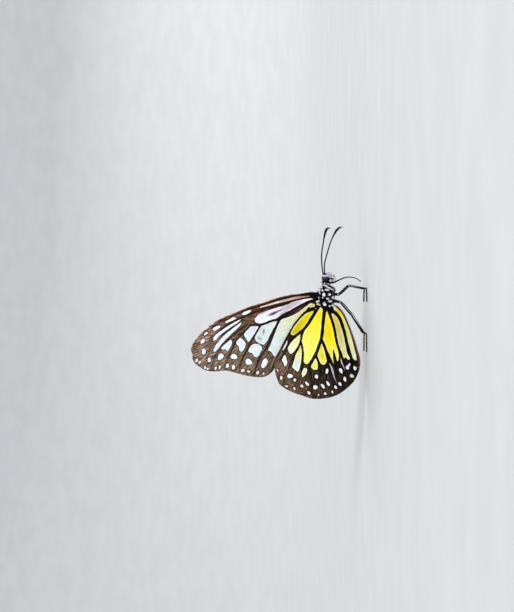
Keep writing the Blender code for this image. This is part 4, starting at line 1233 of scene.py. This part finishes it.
def palp(hand, side, rng):
    """A short upturned palp with pale scales on its outer side."""
    route = ((332.8, 282.0, 0.55), (334.5, 280.2, 0.6), (334.6, 277.8, 0.62), (333.7, 275.6, 0.62))
    path = smooth_line(in_place(route, hand), 0.12)
    share = np.linspace(0, 1, len(path))
    radii = np.interp(share, (0, 0.34, 0.7, 0.76, 1), (0.24, 0.34, 0.28, 0.2, 0.07))
    obj, _ = tube(f"palp_{side}_scaled", path, radii)
    mark(obj, "tint", palp_tints(*shape_of(obj), hand))
    dress(obj, FINISHES["skin"], "body", "palp_" + side)
    wanted = 900
    roots, facing = roots_on(obj, wanted, rng)
    lies = combed(facing, np.array((0.9, 0.0, 0.1)), rng, 0.3)
    spread = np.stack([(roots[:, 0] - 9.0) / 3.0, roots[:, 2] / 12.0], 1)
    lengths = rng.uniform(0.16, 0.32, wanted)
    tints = palp_tints(roots, facing, hand) * rng.uniform(0.8, 1.2, (wanted, 1))
    tufts(f"palp_{side}_coat", roots, facing, lies, lengths, 0.05, 0.05, tints, spread, "body")


def palp_tints(points, outs, hand):
    _, down = reading(points[:, [0, 2]])
    white = eased(0.1, 0.4, outs[:, 1] * hand) * eased(282.5, 281.0, down) * eased(276.2, 277.4, down)
    return mixed("#100C10", "#F1EAEE", 0.95 * white)


LEG_RADII = (0.46, 0.34, 0.27, 0.19)
LEGS = {
    "foreleg": (((327.6, 286.2, 0.7), (330.2, 286.0, 1.75), (334.3, 288.4, 1.85), (334.7, 291.0, 2.0),
                 (333.9, 292.6, 2.2)), (0.28, 0.25, 0.22, 0.15, 0.08), ()),
    "midleg": (((331.0, 294.0, 0.8), (339.0, 294.5, 1.5), (348.8, 285.4, 4.3), (363.4, 288.4, 6.2)),
               LEG_RADII, ((293.0, 7.2), (302.5, 8.7))),
    "hindleg": (((333.0, 300.6, 0.8), (341.0, 302.3, 1.5), (352.0, 315.0, 4.3), (363.4, 333.0, 6.3)),
                LEG_RADII, ((339.5, 6.9), (352.5, 7.8))),
}


def leg_route(hand, joints, radii, foot):
    """Centres and radii from hip to ankle, then the five foot joints along the floor."""
    points = in_place(joints, hand)
    path, widths = [], []
    for i, (a, b) in enumerate(zip(points[:-1], points[1:])):
        for share in np.arange(0, 0.99, 0.04):
            pinch = 1 - 0.38 * math.exp(-((share / 0.035) ** 2)) * (i > 0)
            knee = 1 + 0.12 * math.exp(-(((share - 0.93) / 0.05) ** 2))
            swell = 1 + 0.14 * math.sin(math.pi * share) * (i == 1)
            path.append(a + (b - a) * share)
            widths.append((radii[i] + (radii[i + 1] - radii[i]) * share) * pinch * knee * swell)
    path.append(points[-1])
    widths.append(radii[-1])
    if foot:
        ankle = points[-1][:2]
        path[-1] = np.array((*ankle, ANKLE_UP))
        ends = [(*ankle, FOOT_UP)] + [(flat((0.0, d))[0], hand * y, FOOT_UP) for d, y in foot]
        way = smooth_line(ends, 0.05)[:-8]
        for joint in range(5):
            for share, width in ((0.04, 0.13), (0.15, 0.17), (0.75, 0.2), (0.93, 0.2), (0.98, 0.15)):
                path.append(way[int((joint + share) / 5 * (len(way) - 1))])
                widths.append(width)
    return np.array(path), np.array(widths)


def leg_tints(outs, along, hand, foot):
    """Black, with a line of white scales down the outer side and pale foot joints."""
    outer = outs[:, 1] * hand if foot else outs[:, 0] * 0.85 - outs[:, 2] * 0.53 + 0.55
    line = eased(0.78, 0.95, outer) * eased(0.19, 0.22, along) * (1 - eased(0.55, 0.7, along))
    tint = mixed("#14100F", "#E6E0DC", 0.9 * line)
    if foot:
        tint = mixed(tint, "#2A1E1A", eased(0.7, 0.85, along) * 0.8)
    return tint


def claws(name, path):
    """Two hooked claws at the tip of a foot."""
    tip = path[-1] - np.array((0, 0, 0.05))
    way = (path[-1] - path[-6]) / np.linalg.norm(path[-1] - path[-6])
    aside = np.cross(way, (0, 0, 1))
    hooks = []
    for turn in (-1, 1):
        bend = tip + way * 0.16 + aside * 0.09 * turn + (0, 0, 0.04)
        end = tip + way * 0.3 + aside * 0.13 * turn
        end[2] = 0.08
        hook = smooth_line([tip, bend, end], 0.04)
        hooks.append(tube(name, hook, np.linspace(0.07, 0.02, len(hook)), 2)[0])
    alone(hooks[0])
    hooks[1].select_set(True)
    bpy.ops.object.join()
    mark(hooks[0], "tint", np.tile(colour("#1C1210"), (len(hooks[0].data.vertices), 1)))
    dress(hooks[0], FINISHES["horn"], "limb")


def leg(label, hand, side, rng):
    joints, radii, foot = LEGS[label]
    path, widths = leg_route(hand, joints, radii, foot)
    obj, along = tube(f"{label}_{side}_jointed", path, widths)
    if foot:
        claws(f"{label}_{side}_claws", path)
    mark(obj, "tint", leg_tints(shape_of(obj)[1], along, hand, foot))
    dress(obj, FINISHES["horn"], "limb", f"{label}_{side}")
    wanted = 3200 if foot else 1300
    roots, facing = roots_on(obj, wanted, rng, lambda spots, _: (spots[:, 2] > 0.2).astype(float))
    tree = search_tree(path)
    nearest = np.array([tree.find(p)[1] for p in roots])
    lies = combed(facing, unit(np.gradient(path, axis=0)[nearest], 1e-9), rng, 0.2)
    lies[:, 2] = np.where(roots[:, 2] < 0.4, np.maximum(lies[:, 2], 0.0), lies[:, 2])
    along = nearest / (len(path) - 1)
    unwrap = np.stack([along, np.arctan2(facing[:, 1], facing[:, 2]) / 6.3 + 0.5], 1)
    stands = rng.random(wanted) > 0.96
    lengths = rng.uniform(0.14, 0.24, wanted) * (1 + stands)
    tints = leg_tints(facing, along, hand, foot) * rng.uniform(0.75, 1.25, (wanted, 1))
    tufts(f"{label}_{side}_coat", roots, facing, lies, lengths, 0.055 - 0.025 * stands,
          0.015 + 0.12 * stands, tints, unwrap, "limb")


rng = np.random.default_rng(31)
for hand, side in SIDES:
    palp(hand, side, rng)
    for label in LEGS:
        leg(label, hand, side, rng)


# Studio
def studio(flat_part=0.8, bend=1.5, steps=24):
    """A pale floor that curves up all round."""
    bpy.ops.mesh.primitive_circle_add(
        vertices=128, radius=flat_part, fill_type="NGON", location=(0, 0, 0))
    floor = bpy.context.object
    floor.name = "studio_floor"
    edit_all()
    turns = [step / steps * math.radians(75) for step in range(steps + 1)]
    for last, turn in zip(turns, turns[1:]):
        rise = bend * (math.cos(last) - math.cos(turn))
        size = (flat_part + bend * math.sin(turn)) / (flat_part + bend * math.sin(last))
        bpy.ops.mesh.extrude_edges_move(TRANSFORM_OT_translate={"value": (0, 0, rise)})
        bpy.ops.transform.resize(value=(size, size, 1.0))
    bpy.ops.object.mode_set(mode="OBJECT")
    bpy.ops.object.shade_smooth()
    made, tree, shader = principled("studio_paper", Roughness=0.8)
    paper = noise(tree, place_of(tree), 40.0, 3.0)
    tone = blend(tree, ramp(tree, paper, 0.3, 0.7), (0.62, 0.63, 0.63, 1.0), (0.66, 0.66, 0.66, 1.0))
    feed(tree, shader.inputs, Base_Color=tone)
    floor.data.materials.append(made)


def soft_light(name, spot, size, power, tone):
    bpy.ops.object.light_add(type="AREA", location=spot)
    lamp = bpy.context.object
    lamp.name = name
    lamp.data.shape = "DISK"
    lamp.data.size = size
    lamp.data.energy = power
    lamp.data.color = tone
    lamp.rotation_euler = (Vector((0.0, 0.0, 0.025)) - Vector(spot)).to_track_quat("-Z", "Y").to_euler()


def camera():
    """The picture's own view, with the side of the frame that was up now pointing forward."""
    lens, sensor = 120.0, 36.0
    span = PICTURE[1] * STEP * MM
    forward, up = flat((PICTURE[0] / 2, PICTURE[1] / 2)) * MM
    data = bpy.data.cameras.new("picture_camera")
    data.lens = lens
    data.sensor_width = sensor
    view = in_scene("picture_camera", data)
    right, top, back = (0, 0, -1), (1, 0, 0), (0, -1, 0)
    turn = Matrix((right, top, back)).transposed().to_4x4()
    view.matrix_world = Matrix.Translation((forward, -lens / sensor * span, up)) @ turn
    bpy.context.scene.camera = view


studio()
soft_light("key", (0.8, -1.2, 0.7), 0.6, 10.5, (1.0, 0.98, 0.95))
soft_light("fill", (-1.0, -1.0, 0.4), 0.9, 2.0, (0.92, 0.96, 1.0))
soft_light("back", (0.4, 1.2, 0.8), 0.8, 4.0, (1.0, 1.0, 1.0))
world = bpy.data.worlds.new("studio_air")
world.use_nodes = True
world.node_tree.nodes["Background"].inputs["Color"].default_value = (0.92, 0.95, 1.0, 1.0)
world.node_tree.nodes["Background"].inputs["Strength"].default_value = 0.92
bpy.context.scene.world = world
bpy.context.scene.view_settings.view_transform = "Standard"
camera()
